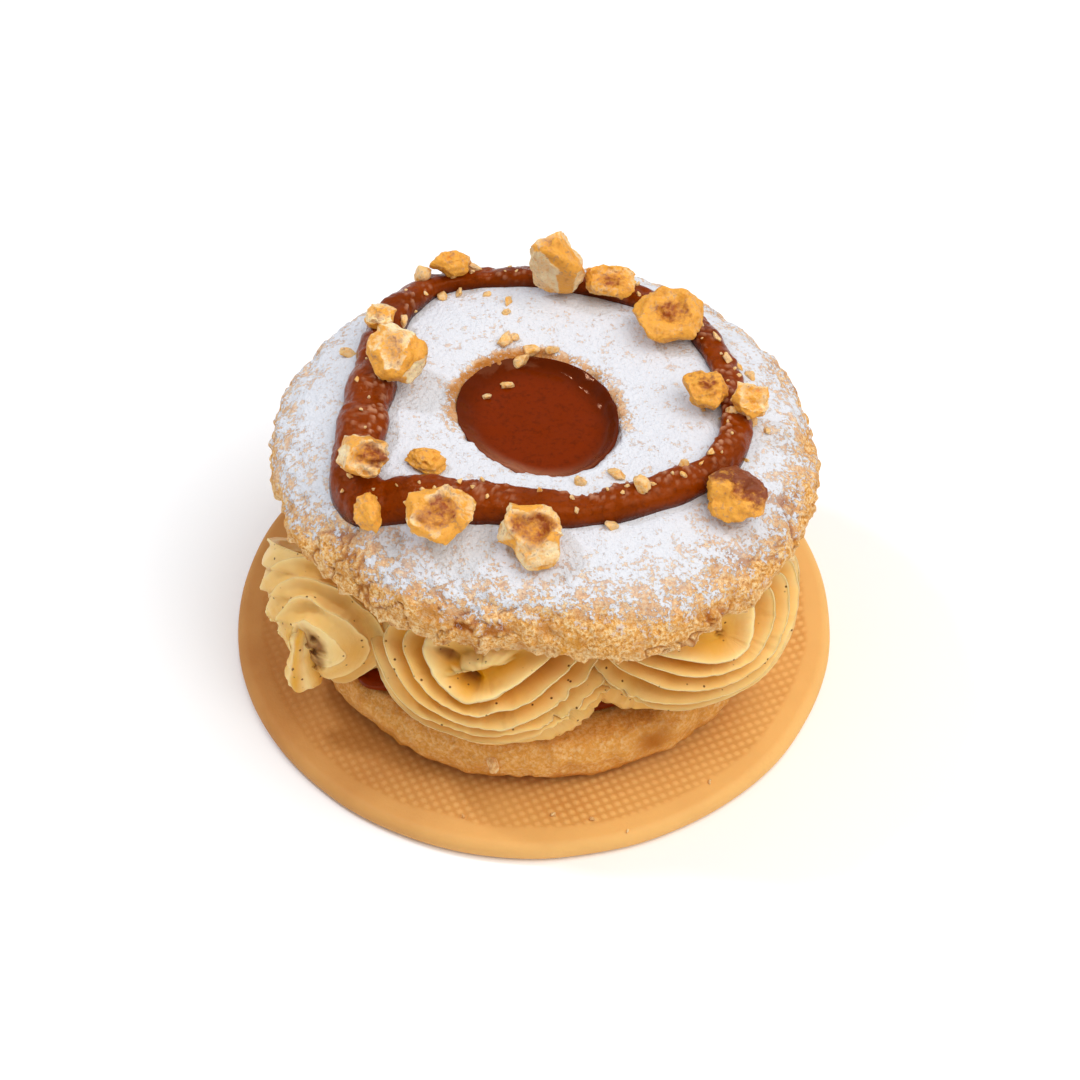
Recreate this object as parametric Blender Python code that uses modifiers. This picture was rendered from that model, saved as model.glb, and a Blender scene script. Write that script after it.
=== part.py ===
# Individual paris-brest on a round shortbread biscuit.
# From the bottom up: biscuit, lower choux, praline layer, six piped cream rosettes,
# domed upper choux with a hole full of praline, a piped praline loop and broken hazelnuts.
# Units are metres and +Z is up. The origin is the centre of the biscuit's underside,
# and the front of the pastry faces -Y.

import math
import random
from typing import NamedTuple

import bmesh
import bpy
from mathutils import Euler, Vector, noise
from mathutils.bvhtree import BVHTree

MM = 0.001
GAP = 0.3 * MM
MERGE = 0.01 * MM

BISCUIT_R = 42.5 * MM
BISCUIT_T = 2.9 * MM
BISCUIT_TOP_EDGE = 1.4 * MM
BISCUIT_LOW_EDGE = 1.1 * MM
BISCUIT_STEPS = 56

# Where each level's own axis stands, because the pastry is stacked by hand.
LOWER_AXIS = (0.6 * MM, 0.8 * MM)
CREAM_AXIS = (1.0 * MM, 0.0)
UPPER_AXIS = (1.0 * MM, -0.8 * MM)

LOWER_Z = BISCUIT_T + GAP
LOWER_TOP_Z = 11.5 * MM
LOWER_FOOT_R = 30.0 * MM
LOWER_R = 33.4 * MM
LOWER_MAX_R = 34.2 * MM
LOWER_SHOULDER = 2.4 * MM
LOWER_BELLY = 0.62
LOWER_STEPS = 60
LOWER_CRAG = 0.8 * MM

LAYER_Z = LOWER_TOP_Z + GAP
LAYER_T = 1.8 * MM
LAYER_R = 28.5 * MM
LAYER_STEPS = 44
# The bead that oozes out: its place, then its half length, half depth and half height.
OOZE_ANGLE = math.radians(-137.0)
OOZE_OUT = 29.6 * MM
OOZE_SIZE = (5.0 * MM, 3.6 * MM, 1.1 * MM)

UPPER_Z = 32.6 * MM
UPPER_RIM_Z = 35.0 * MM
UPPER_R = 36.9 * MM
UPPER_SHOULDER = 2.6 * MM
UNDERSIDE_EDGE = 4.0 * MM
CROWN_Z = 43.4 * MM
CROWN_R = 19.0 * MM
LIP_DROP = 0.6 * MM
LIP_R = 1.9 * MM
UPPER_STEPS = 84
UPPER_CRAG = 1.3 * MM
CRAG_SIZE = 4.2 * MM
SUGARED_CRAG = 0.25
# Where the rim pulls in or swells: angle in degrees, spread in degrees, distance outwards.
RIM_DENTS = (
    (-104.0, 24.0, -3.4 * MM),
    (-140.0, 16.0, -2.0 * MM),
    (-88.0, 8.0, -1.2 * MM),
    (-64.0, 10.0, 0.5 * MM),
    (-20.0, 14.0, 0.4 * MM),
    (194.0, 14.0, -1.0 * MM),
    (88.0, 34.0, -1.4 * MM),
)

# The hole is oval, long from the back left to the front right, and off the ring's axis.
HOLE_R = 10.8 * MM
HOLE_OVAL = 0.9 * MM
HOLE_LONG_ANGLE = math.radians(128.0)
HOLE_OFFSET = 1.1 * MM
HOLE_OFFSET_ANGLE = math.radians(112.0)
HOLE_BLEND_R = 17.0 * MM

POOL_Z = 41.5 * MM
POOL_MENISCUS = 0.7 * MM
POOL_STEPS = 36

CREAM_TOP_Z = UPPER_Z - GAP
CREAM_LOW_Z = 8.2 * MM
ROSETTE_R = 16.8 * MM
ROSETTE_HALF_H = 14.8 * MM
ROSETTE_RIDGE = 1.9 * MM
ROSETTE_LIP = 0.9 * MM
ROSETTE_AROUND = 22
ROSETTE_FRONT_ROWS = 12
ROSETTE_BACK_ROWS = 4
ROSETTE_ROW_ANGLE = math.radians(8.0)
CORE_R = 26.0 * MM
CORE_HOLE_R = 6.5 * MM
CORE_STEPS = 48


class Rosette(NamedTuple):
    """Where a rosette stands and how its swirl faces. Angles are in degrees."""
    at: float
    out: float
    height: float
    eye_at: float
    eye_lift: float
    size: float


ROSETTES = (
    Rosette(254.5, 20.4 * MM, 22.2 * MM, 260.0, 46.0, 0.99),
    Rosette(320.0, 21.4 * MM, 24.0 * MM, 318.0, 40.0, 1.06),
    Rosette(20.0, 20.8 * MM, 22.8 * MM, 16.0, 42.0, 1.00),
    Rosette(76.0, 20.8 * MM, 22.4 * MM, 80.0, 38.0, 1.00),
    Rosette(136.0, 20.8 * MM, 23.0 * MM, 131.0, 42.0, 1.02),
    Rosette(203.0, 21.5 * MM, 21.2 * MM, 212.0, 8.0, 1.05),
)
# The torn tail that hangs from the left rosette: top, middle and tip, then its half widths.
TAIL_POINTS = (
    (-31.0 * MM, -17.0 * MM, 22.0 * MM),
    (-32.6 * MM, -18.6 * MM, 16.0 * MM),
    (-32.2 * MM, -20.2 * MM, 10.6 * MM),
)
TAIL_WIDTHS = (3.4, 2.0, 1.7)

# The piped praline loop: x, y and half width of its turns, in millimetres.
LOOP_TURNS = (
    (-23.8, -12.2, 3.2),
    (-22.8, -3.0, 3.3),
    (-21.4, 7.4, 3.0),
    (-19.4, 17.8, 2.6),
    (-13.8, 25.0, 2.3),
    (-4.7, 27.2, 2.1),
    (4.4, 26.0, 2.0),
    (13.4, 23.0, 2.0),
    (20.6, 19.0, 2.0),
    (24.6, 11.6, 1.9),
    (26.9, 2.5, 2.0),
    (26.4, -5.8, 2.1),
    (22.0, -12.2, 2.3),
    (13.2, -16.8, 2.4),
    (4.4, -18.9, 2.5),
    (-5.6, -17.7, 2.7),
    (-14.6, -16.6, 3.0),
    (-20.8, -16.3, 2.9),
)
LOOP_HEIGHT = 1.1
LOOP_SPAN_STEPS = 4
LOOP_SIDES = 2
LOOP_LUMPS = 0.12
LOOP_LUMP_SIZE = 6.0 * MM
LOOP_REACH = 1.2 * MM


class Nut(NamedTuple):
    """A broken hazelnut: its place and half sizes in millimetres, its turns about x, y and
    z in degrees, how far up its broken face lies, how deep that is hollowed, and the
    seed of its break."""
    x: float
    y: float
    half: tuple
    turns: tuple
    face: float
    hollow: float
    seed: int


NUTS = (
    Nut(-11.6, 26.8, (3.3, 2.2, 2.1), (10, 12, 20), 0.9, 0.0, 11),
    Nut(3.0, 23.4, (4.1, 3.3, 5.7), (12, -8, -20), 1.1, 0.0, 12),
    Nut(10.3, 22.0, (4.0, 2.6, 2.0), (38, 4, -6), 0.55, 0.1, 13),
    Nut(18.2, 15.0, (5.7, 4.2, 2.9), (30, 6, -14), 0.55, 0.25, 14),
    Nut(22.8, 0.6, (2.8, 3.7, 2.4), (22, -16, 30), 0.95, 0.0, 15),
    Nut(28.8, -0.9, (3.4, 2.9, 2.4), (14, 24, -40), 0.7, 0.0, 16),
    Nut(26.4, -16.4, (4.5, 4.6, 3.8), (34, 14, 38), 0.75, 0.1, 17),
    Nut(-0.2, -24.3, (4.1, 5.0, 3.2), (28, -4, 12), 0.6, 0.45, 18),
    Nut(-12.3, -22.9, (5.0, 4.3, 3.2), (34, 6, -4), 0.6, 0.5, 19),
    Nut(-21.6, -20.4, (2.0, 2.9, 2.1), (30, 8, 16), 0.8, 0.0, 20),
    Nut(-21.9, -14.0, (3.6, 3.6, 5.3), (48, 10, 8), 0.6, 0.3, 21),
    Nut(-14.4, -10.2, (3.1, 2.1, 1.9), (20, 0, -12), 0.9, 0.0, 22),
    Nut(-18.4, 5.5, (4.4, 4.6, 3.1), (30, -8, -10), 0.6, 0.2, 23),
    Nut(-20.9, 14.7, (2.5, 2.4, 2.3), (20, -6, 36), 0.7, 0.1, 24),
)
NUT_DETAIL = 2
NUT_RAGGED = 0.2
NUT_FACETS = 4
NUT_PRESS = 0.9 * MM
NUT_REACH = 1.4 * MM
NUT_PLANED = 0.85

# Small nut bits: x, y and length in millimetres, grouped by what they lie on.
BITS_ON_SUGAR = (
    (-25.4, 10.2, 2.6),
    (-3.9, 13.2, 2.9),
    (-1.6, 12.2, 2.4),
    (2.4, 12.4, 2.4),
    (29.6, 8.2, 1.9),
    (30.9, -5.0, 2.2),
    (10.4, -22.4, 3.0),
    (5.6, -13.4, 2.5),
    (9.2, -12.3, 2.7),
    (-5.2, 19.6, 2.4),
    (-3.6, 21.4, 2.0),
    (20.6, -3.4, 2.0),
)
BITS_ON_LOOP = (
    (-14.6, 23.4, 3.2),
    (-10.6, 25.6, 2.8),
    (-7.4, 26.0, 3.2),
    (24.6, 10.2, 2.2),
    (25.9, 6.8, 2.0),
    (14.0, -17.2, 3.8),
    (18.4, -14.4, 2.2),
    (26.8, -4.2, 2.2),
)
BITS_ON_POOL = (
    (-3.4, 5.8, 2.0),
    (-5.2, 3.9, 1.7),
)
BIT_WIDTH = 0.72
BIT_HEIGHT = 0.68
BIT_TILT = 0.4
BIT_SUNK = 0.45

COLOURS = {
    "sable": ((0.72, 0.43, 0.17), 0.75),
    "choux": ((0.71, 0.47, 0.24), 0.85),
    "sugar": ((0.82, 0.79, 0.78), 0.95),
    "cream": ((0.69, 0.50, 0.27), 0.5),
    "praline": ((0.27, 0.08, 0.02), 0.2),
    "hazelnut": ((0.80, 0.51, 0.17), 0.55),
}


def clear_scene():
    for obj in list(bpy.data.objects):
        bpy.data.objects.remove(obj, do_unlink=True)


def make_collection(name):
    collection = bpy.data.collections.new(name)
    bpy.context.scene.collection.children.link(collection)
    return collection


def make_material(name):
    colour, roughness = COLOURS[name]
    material = bpy.data.materials.new(name)
    material.use_nodes = True
    shader = material.node_tree.nodes["Principled BSDF"]
    shader.inputs["Base Color"].default_value = (*colour, 1.0)
    shader.inputs["Roughness"].default_value = roughness
    shader.inputs["Metallic"].default_value = 0.0
    material.diffuse_color = (*colour, 1.0)
    return material


def apply_modifiers(obj):
    """Keep the object's evaluated mesh and drop its modifiers."""
    depsgraph = bpy.context.evaluated_depsgraph_get()
    mesh = bpy.data.meshes.new_from_object(obj.evaluated_get(depsgraph))
    obj.modifiers.clear()
    obj.data = mesh


def boolean(obj, operation, tools):
    """Join, cut or trim the object with a collection of tools, which is then removed."""
    modifier = obj.modifiers.new(operation.title(), 'BOOLEAN')
    modifier.operation = operation
    modifier.operand_type = 'COLLECTION'
    modifier.solver = 'MANIFOLD'
    modifier.collection = tools
    apply_modifiers(obj)
    for tool in list(tools.objects):
        bpy.data.objects.remove(tool, do_unlink=True)
    bpy.data.collections.remove(tools)


def drop_scraps(obj):
    """Keep the largest connected body of a trimmed mesh."""
    bm = bmesh.new()
    bm.from_mesh(obj.data)
    unseen = set(bm.verts)
    bodies = []
    while unseen:
        body = {unseen.pop()}
        edge_of_body = list(body)
        while edge_of_body:
            vertex = edge_of_body.pop()
            for edge in vertex.link_edges:
                other = edge.other_vert(vertex)
                if other in unseen:
                    unseen.remove(other)
                    body.add(other)
                    edge_of_body.append(other)
        bodies.append(body)
    largest = max(bodies, key=len)
    bmesh.ops.delete(bm, geom=[v for v in bm.verts if v not in largest], context='VERTS')
    bm.to_mesh(obj.data)
    bm.free()


def object_from_bmesh(name, bm, collection):
    """Make an object of a closed bmesh, with its faces turned outwards."""
    if bm.calc_volume(signed=True) < 0.0:
        bmesh.ops.reverse_faces(bm, faces=bm.faces)
    mesh = bpy.data.meshes.new(name)
    bm.to_mesh(mesh)
    bm.free()
    obj = bpy.data.objects.new(name, mesh)
    collection.objects.link(obj)
    return obj


def finish(obj, material, sharp_angle=60.0):
    obj.data.materials.clear()
    obj.data.materials.append(make_or_get_material(material))
    obj.data.shade_smooth()
    obj.data.set_sharp_from_angle(angle=math.radians(sharp_angle))


def make_or_get_material(name):
    return bpy.data.materials.get(name) or make_material(name)


def turned(name, profile, steps, collection, closed=False):
    """Turn a profile of (radius, height) points about Z. It runs down the outer side."""
    last = len(profile) - 1
    edges = [(i, i + 1) for i in range(last)]
    if closed:
        edges.append((last, 0))
    mesh = bpy.data.meshes.new(name)
    mesh.from_pydata([(radius, 0.0, height) for radius, height in profile], edges, [])
    obj = bpy.data.objects.new(name, mesh)
    collection.objects.link(obj)
    screw = obj.modifiers.new("Turn", 'SCREW')
    screw.steps = steps
    screw.render_steps = steps
    screw.use_merge_vertices = True
    screw.merge_threshold = MERGE
    screw.use_smooth_shade = True
    apply_modifiers(obj)
    return obj


def arc(centre, radii, start, end, count):
    """Points of an elliptical arc, with angles in degrees from outwards to up."""
    points = []
    for i in range(count + 1):
        angle = math.radians(start + (end - start) * i / count)
        points.append((centre[0] + radii[0] * math.cos(angle), centre[1] + radii[1] * math.sin(angle)))
    return points


def polar(point):
    return math.hypot(point.x, point.y), math.atan2(point.y, point.x)


def from_polar(radius, theta, height):
    return Vector((radius * math.cos(theta), radius * math.sin(theta), height))


def swell(theta, centre_deg, spread_deg):
    """A smooth bump of height 1 round one angle."""
    away = math.degrees(math.remainder(theta - math.radians(centre_deg), math.tau))
    return math.exp(-((away / spread_deg) ** 2))


def oval_hole(radius, theta):
    """Carry the hole's oval outline outwards until it fades into a circle."""
    fade = min(1.0, max(0.0, (HOLE_BLEND_R - radius) / (HOLE_BLEND_R - HOLE_R)))
    oval = HOLE_OVAL * math.cos(2.0 * (theta - HOLE_LONG_ANGLE))
    oval += HOLE_OFFSET * math.cos(theta - HOLE_OFFSET_ANGLE)
    return radius * (1.0 + fade * oval / HOLE_R)


def rim_dent(theta):
    return sum(depth * swell(theta, centre, spread) for centre, spread, depth in RIM_DENTS)


def crags(point, size):
    """Rounded crumbs with creases between them, from about -1 to 1."""
    large = noise.noise(point / size)
    small = noise.noise(point / (0.45 * size) + Vector((7.0, 3.0, 1.0)))
    return 1.2 * large + 0.7 * small


def reshape(obj, rule):
    for vertex in obj.data.vertices:
        vertex.co = rule(vertex.co.copy(), vertex.normal.copy())
    obj.data.update()


def move_to(obj, axis):
    for vertex in obj.data.vertices:
        vertex.co.x += axis[0]
        vertex.co.y += axis[1]
    obj.data.update()


def make_biscuit(parts):
    profile = [(0.0, BISCUIT_T)]
    profile += arc((BISCUIT_R - BISCUIT_TOP_EDGE, BISCUIT_T - BISCUIT_TOP_EDGE),
                   (BISCUIT_TOP_EDGE, BISCUIT_TOP_EDGE), 90.0, 0.0, 3)
    profile += arc((BISCUIT_R - BISCUIT_LOW_EDGE, BISCUIT_LOW_EDGE),
                   (BISCUIT_LOW_EDGE, BISCUIT_LOW_EDGE), 0.0, -90.0, 2)
    profile.append((0.0, 0.0))
    biscuit = turned("sable_base", profile, BISCUIT_STEPS, parts)
    finish(biscuit, "sable")


def make_lower_choux(parts):
    """The sliced lower half: a flat cut top and a craggy side that narrows to its foot."""
    belly = LOWER_Z + LOWER_BELLY * (LOWER_TOP_Z - LOWER_Z)
    shoulder = (LOWER_SHOULDER, LOWER_TOP_Z - belly)
    profile = [(0.0, LOWER_TOP_Z), (0.5 * LOWER_R, LOWER_TOP_Z)]
    profile += arc((LOWER_R - LOWER_SHOULDER, belly), shoulder, 90.0, 0.0, 3)
    profile += arc((LOWER_FOOT_R, belly), (LOWER_R - LOWER_FOOT_R, belly - LOWER_Z), -25.0, -90.0, 3)
    profile += [(0.5 * LOWER_R, LOWER_Z), (0.0, LOWER_Z)]
    lower = turned("choux_bottom", profile, LOWER_STEPS, parts)

    def rule(point, normal):
        radius, theta = polar(point)
        if radius > 0.8 * LOWER_R:
            point += LOWER_CRAG * crags(point, CRAG_SIZE) * normal
            radius = min(math.hypot(point.x, point.y), LOWER_MAX_R)
        height = min(max(point.z, LOWER_Z), LOWER_TOP_Z)
        return from_polar(radius, theta, height)

    reshape(lower, rule)
    move_to(lower, LOWER_AXIS)
    finish(lower, "choux")


def make_praline_layer(name, grow, collection):
    """A thin round layer with a bead that oozes out at the front left."""
    radius = LAYER_R + grow
    low = LAYER_Z - grow
    high = LAYER_Z + LAYER_T + grow
    edge = 0.5 * (high - low)
    profile = [(0.0, high)]
    profile += arc((radius - edge, low + edge), (edge, edge), 90.0, -90.0, 4)
    profile.append((0.0, low))
    layer = turned(name, profile, LAYER_STEPS, collection)
    move_to(layer, LOWER_AXIS)

    bm = bmesh.new()
    bmesh.ops.create_uvsphere(bm, u_segments=14, v_segments=8, radius=1.0)
    for vertex in bm.verts:
        along, out, up = (vertex.co[i] * (OOZE_SIZE[i] + grow) for i in range(3))
        bead = from_polar(OOZE_OUT + out, OOZE_ANGLE + along / OOZE_OUT, 0.0)
        height = max(LAYER_Z + 0.5 * LAYER_T + up, low)
        vertex.co = Vector((bead.x + LOWER_AXIS[0], bead.y + LOWER_AXIS[1], height))
    beads = make_collection("ooze")
    object_from_bmesh("ooze", bm, beads)
    boolean(layer, 'UNION', beads)
    return layer


def upper_profile():
    """The cut section of the domed ring, from the crown out and down, then back underneath."""
    dome = arc((CROWN_R, UPPER_RIM_Z), (UPPER_R - CROWN_R, CROWN_Z - UPPER_RIM_Z), 90.0, 0.0, 8)
    under_radii = (UPPER_SHOULDER, UPPER_RIM_Z - UPPER_Z)
    under = arc((UPPER_R - UPPER_SHOULDER, UPPER_RIM_Z), under_radii, -30.0, -90.0, 2)
    hole = [(HOLE_R, UPPER_Z), (HOLE_R, 0.5 * (UPPER_Z + CROWN_Z))]
    lip_centre = (HOLE_R + LIP_R, CROWN_Z - LIP_DROP - LIP_R)
    lip = arc(lip_centre, (LIP_R, LIP_R), 180.0, 100.0, 3)
    return dome + under + hole + lip


def make_upper_choux(parts):
    upper = turned("choux_top", upper_profile(), UPPER_STEPS, parts, closed=True)
    lip_end = HOLE_R + LIP_R

    def rule(point, normal):
        radius, theta = polar(point)
        outwards = min(1.0, max(0.0, (radius - CROWN_R) / (UPPER_R - CROWN_R)))
        underneath = point.z < UPPER_Z + MERGE and radius < UPPER_R - UNDERSIDE_EDGE
        in_hole = radius < lip_end and point.z < CROWN_Z - LIP_DROP - MERGE
        if not underneath and not in_hole:
            strength = SUGARED_CRAG + (1.0 - SUGARED_CRAG) * outwards ** 2
            point += strength * UPPER_CRAG * crags(point, CRAG_SIZE) * normal
        radius = oval_hole(math.hypot(point.x, point.y), theta) + outwards * rim_dent(theta)
        return from_polar(radius, theta, max(point.z, UPPER_Z))

    reshape(upper, rule)
    move_to(upper, UPPER_AXIS)
    fuse_bits(upper, BITS_ON_SUGAR, seed=31)
    finish(upper, "sugar", sharp_angle=75.0)
    return upper


def make_pool_column(name, grow, collection):
    """The praline column that fills the hole, with its edge drawn up the wall."""
    edge_r = HOLE_R - GAP + grow
    bottom = LAYER_Z + LAYER_T + GAP - grow
    profile = [(0.0, POOL_Z), (0.55 * edge_r, POOL_Z), (0.85 * edge_r, POOL_Z + 0.25 * POOL_MENISCUS)]
    profile += [(edge_r, POOL_Z + POOL_MENISCUS), (edge_r, 0.5 * (POOL_Z + bottom)), (edge_r, bottom)]
    profile += [(0.5 * edge_r, bottom), (0.0, bottom)]
    pool = turned(name, profile, POOL_STEPS, collection)

    def rule(point, normal):
        radius, theta = polar(point)
        return from_polar(oval_hole(radius, theta), theta, point.z)

    reshape(pool, rule)
    move_to(pool, UPPER_AXIS)
    return pool


def make_pool(parts):
    pool = make_pool_column("praline_pool", 0.0, parts)
    fuse_bits(pool, BITS_ON_POOL, seed=33)
    finish(pool, "praline")


def rosette_point(direction, row, rosette):
    """One point of a rosette. Rings of ridges lie round its eye, with lips that lean away."""
    eye = math.radians(rosette.eye_at)
    lift = math.radians(rosette.eye_lift)
    axis = Vector((math.cos(eye) * math.cos(lift), math.sin(eye) * math.cos(lift), math.sin(lift)))
    side = Vector((-math.sin(eye), math.cos(eye), 0.0))
    up = axis.cross(side)
    polar_angle = row_angle(row)
    around = math.atan2(direction.y, direction.x)
    rim = math.cos(around) * side + math.sin(around) * up
    ray = math.cos(polar_angle) * axis + math.sin(polar_angle) * rim
    away = math.cos(polar_angle) * rim - math.sin(polar_angle) * axis
    half = Vector((ROSETTE_R, ROSETTE_R, ROSETTE_HALF_H)) * rosette.size
    centre = from_polar(rosette.out, math.radians(rosette.at), rosette.height)
    wave = ridge_wave(row)
    raised = ray * (1.0 + wave * ROSETTE_RIDGE / ROSETTE_R)
    raised += away * max(0.0, wave) * ROSETTE_LIP / ROSETTE_R
    return centre + Vector(raised[i] * half[i] for i in range(3))


def row_angle(row):
    """Rows stand close together on the ridged front and far apart on the hidden back."""
    front = ROSETTE_FRONT_ROWS * ROSETTE_ROW_ANGLE
    if row <= ROSETTE_FRONT_ROWS:
        return row * ROSETTE_ROW_ANGLE
    return front + (row - ROSETTE_FRONT_ROWS) * (math.pi - front) / ROSETTE_BACK_ROWS


def ridge_wave(row):
    """Ridges on the odd front rows and grooves on the even ones."""
    if row > ROSETTE_FRONT_ROWS:
        return 0.0
    return 0.5 if row % 2 else -0.5


def make_rosette(index, rosette, collection):
    rows = ROSETTE_FRONT_ROWS + ROSETTE_BACK_ROWS
    bm = bmesh.new()
    bmesh.ops.create_uvsphere(bm, u_segments=ROSETTE_AROUND, v_segments=rows, radius=1.0)
    for vertex in bm.verts:
        row = round(math.acos(max(-1.0, min(1.0, vertex.co.z))) / math.pi * rows)
        vertex.co = rosette_point(vertex.co, row, rosette)
    object_from_bmesh(f"rosette_{index}", bm, collection)


def make_tail(collection):
    """The torn end of cream that hangs down the side."""
    curve = bpy.data.curves.new("tail", 'CURVE')
    curve.dimensions = '3D'
    curve.bevel_depth = 1.0 * MM
    curve.bevel_resolution = 1
    curve.resolution_u = 3
    curve.use_fill_caps = True
    spline = curve.splines.new('BEZIER')
    spline.bezier_points.add(len(TAIL_POINTS) - 1)
    for bezier, place, width in zip(spline.bezier_points, TAIL_POINTS, TAIL_WIDTHS):
        bezier.co = place
        bezier.radius = width
        bezier.handle_left_type = 'AUTO'
        bezier.handle_right_type = 'AUTO'
    mesh_from_curve("tail", curve, collection)


def mesh_from_curve(name, curve, collection):
    """Turn a bevelled curve into a mesh with its caps welded on."""
    guide = bpy.data.objects.new(name + "_path", curve)
    collection.objects.link(guide)
    depsgraph = bpy.context.evaluated_depsgraph_get()
    mesh = bpy.data.meshes.new_from_object(guide.evaluated_get(depsgraph))
    bm = bmesh.new()
    bm.from_mesh(mesh)
    bmesh.ops.remove_doubles(bm, verts=bm.verts, dist=MERGE)
    bmesh.ops.recalc_face_normals(bm, faces=bm.faces)
    bpy.data.objects.remove(guide, do_unlink=True)
    bpy.data.meshes.remove(mesh)
    return object_from_bmesh(name, bm, collection)


def make_cream(parts):
    """Six rosettes and their core, fused, then trimmed to the space between the choux."""
    floor = LAYER_Z + 0.5 * LAYER_T
    roof = CREAM_TOP_Z - GAP
    core = [(CORE_R, roof), (CORE_R, floor), (CORE_HOLE_R, floor), (CORE_HOLE_R, roof)]
    cream = turned("cream", core, CORE_STEPS, parts, closed=True)
    piped = make_collection("piped")
    for index, rosette in enumerate(ROSETTES):
        make_rosette(index, rosette, piped)
    make_tail(piped)
    boolean(cream, 'UNION', piped)
    move_to(cream, CREAM_AXIS)

    trims = make_collection("cream_space")
    reach = 2.0 * BISCUIT_R
    inner = 0.5 * CORE_HOLE_R
    above_lower = LOWER_TOP_Z + GAP
    beside_lower = LOWER_MAX_R + GAP
    space = [(reach, CREAM_TOP_Z), (reach, CREAM_LOW_Z), (beside_lower, CREAM_LOW_Z)]
    space += [(beside_lower, above_lower), (inner, above_lower), (inner, CREAM_TOP_Z)]
    room = turned("cream_room", space, CORE_STEPS, trims, closed=True)
    move_to(room, LOWER_AXIS)
    boolean(cream, 'INTERSECT', trims)
    cuts = make_collection("cream_cuts")
    make_praline_layer("layer_cutter", GAP, cuts)
    make_pool_column("pool_cutter", GAP, cuts)
    boolean(cream, 'DIFFERENCE', cuts)
    drop_scraps(cream)
    finish(cream, "cream")


def fuse_bits(obj, bits, seed):
    """Fuse small broken nut bits into the surface that they lie on."""
    draw = random.Random(seed)
    tree = surface_tree([obj])
    chips = make_collection("bits")
    for x, y, length in bits:
        bm = bmesh.new()
        bmesh.ops.create_icosphere(bm, subdivisions=1, radius=1.0)
        half = 0.5 * length * MM * Vector((1.0, BIT_WIDTH, BIT_HEIGHT))
        tilts = [draw.uniform(-BIT_TILT, BIT_TILT) for axis in range(2)]
        turn = Euler((*tilts, draw.uniform(0.0, math.pi))).to_matrix()
        ground = top_height(tree, x * MM, y * MM)
        if ground is None:
            raise ValueError(f"the bit at {x}, {y} has nothing under it")
        seat = Vector((x * MM, y * MM, ground + BIT_SUNK * half.z))
        for vertex in bm.verts:
            broken = vertex.co * draw.uniform(0.75, 1.15)
            vertex.co = seat + turn @ Vector(broken[i] * half[i] for i in range(3))
        object_from_bmesh("bit", bm, chips)
    boolean(obj, 'UNION', chips)


def surface_tree(objects):
    """A search tree over the objects' faces, for finding what lies under a point."""
    vertices = []
    faces = []
    for obj in objects:
        start = len(vertices)
        vertices += [vertex.co.copy() for vertex in obj.data.vertices]
        faces += [[start + i for i in face.vertices] for face in obj.data.polygons]
    return BVHTree.FromPolygons(vertices, faces)


def top_height(tree, x, y):
    hit = tree.ray_cast(Vector((x, y, 2.0 * CROWN_Z)), Vector((0.0, 0.0, -1.0)))[0]
    return hit.z if hit else None


def highest_near(tree, x, y, reach):
    """The highest surface within a short distance of a point."""
    heights = [top_height(tree, x, y)]
    for share in (0.5, 1.0):
        for i in range(8):
            angle = math.tau * i / 8
            near_x = x + share * reach * math.cos(angle)
            heights.append(top_height(tree, near_x, y + share * reach * math.sin(angle)))
    return max(height for height in heights if height is not None)


def make_loop(parts, upper):
    """The piped loop: a flattened tube whose underside lies along the choux."""
    curve = bpy.data.curves.new("loop", 'CURVE')
    curve.dimensions = '3D'
    curve.bevel_depth = 1.0 * MM
    curve.bevel_resolution = LOOP_SIDES
    curve.resolution_u = LOOP_SPAN_STEPS
    spline = curve.splines.new('BEZIER')
    spline.use_cyclic_u = True
    spline.bezier_points.add(len(LOOP_TURNS) - 1)
    for bezier, (x, y, width) in zip(spline.bezier_points, LOOP_TURNS):
        bezier.co = (x * MM, y * MM, 0.0)
        bezier.radius = width
        bezier.handle_left_type = 'AUTO'
        bezier.handle_right_type = 'AUTO'
    loop = mesh_from_curve("praline_ring", curve, parts)
    tree = surface_tree([upper])

    def rule(point, normal):
        ground = highest_near(tree, point.x, point.y, LOOP_REACH)
        lumps = 1.0 + LOOP_LUMPS * noise.noise(point / LOOP_LUMP_SIZE)
        return Vector((point.x, point.y, ground + GAP + LOOP_HEIGHT * lumps * max(0.0, point.z)))

    reshape(loop, rule)
    fuse_bits(loop, BITS_ON_LOOP, seed=37)
    finish(loop, "praline")
    return loop


def break_planes(seed):
    """Flat breaks round a nut: outward directions and how far out each one lies."""
    draw = random.Random(seed)
    planes = []
    for i in range(NUT_FACETS):
        angle = math.tau * (i + draw.uniform(0.1, 0.9)) / NUT_FACETS
        lean = draw.uniform(-0.5, 0.7)
        direction = Vector((math.cos(angle), math.sin(angle), lean)).normalized()
        planes.append((direction, draw.uniform(0.62, 0.88)))
    return planes


def nut_shape(direction, nut, planes):
    """A point of a broken nut inside a unit ball, with its broken face upwards."""
    offset = nut.seed * Vector((1.0, 2.0, 3.0))
    point = direction * (1.0 + NUT_RAGGED * noise.noise(2.2 * direction + offset))
    for normal, reach in planes:
        excess = point.dot(normal) - reach
        if excess > 0.0:
            point -= NUT_PLANED * excess * normal
    if point.z > nut.face:
        spread = min(1.0, math.hypot(point.x, point.y))
        point.z = nut.face - nut.hollow * (1.0 - spread ** 2)
    return point


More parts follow.
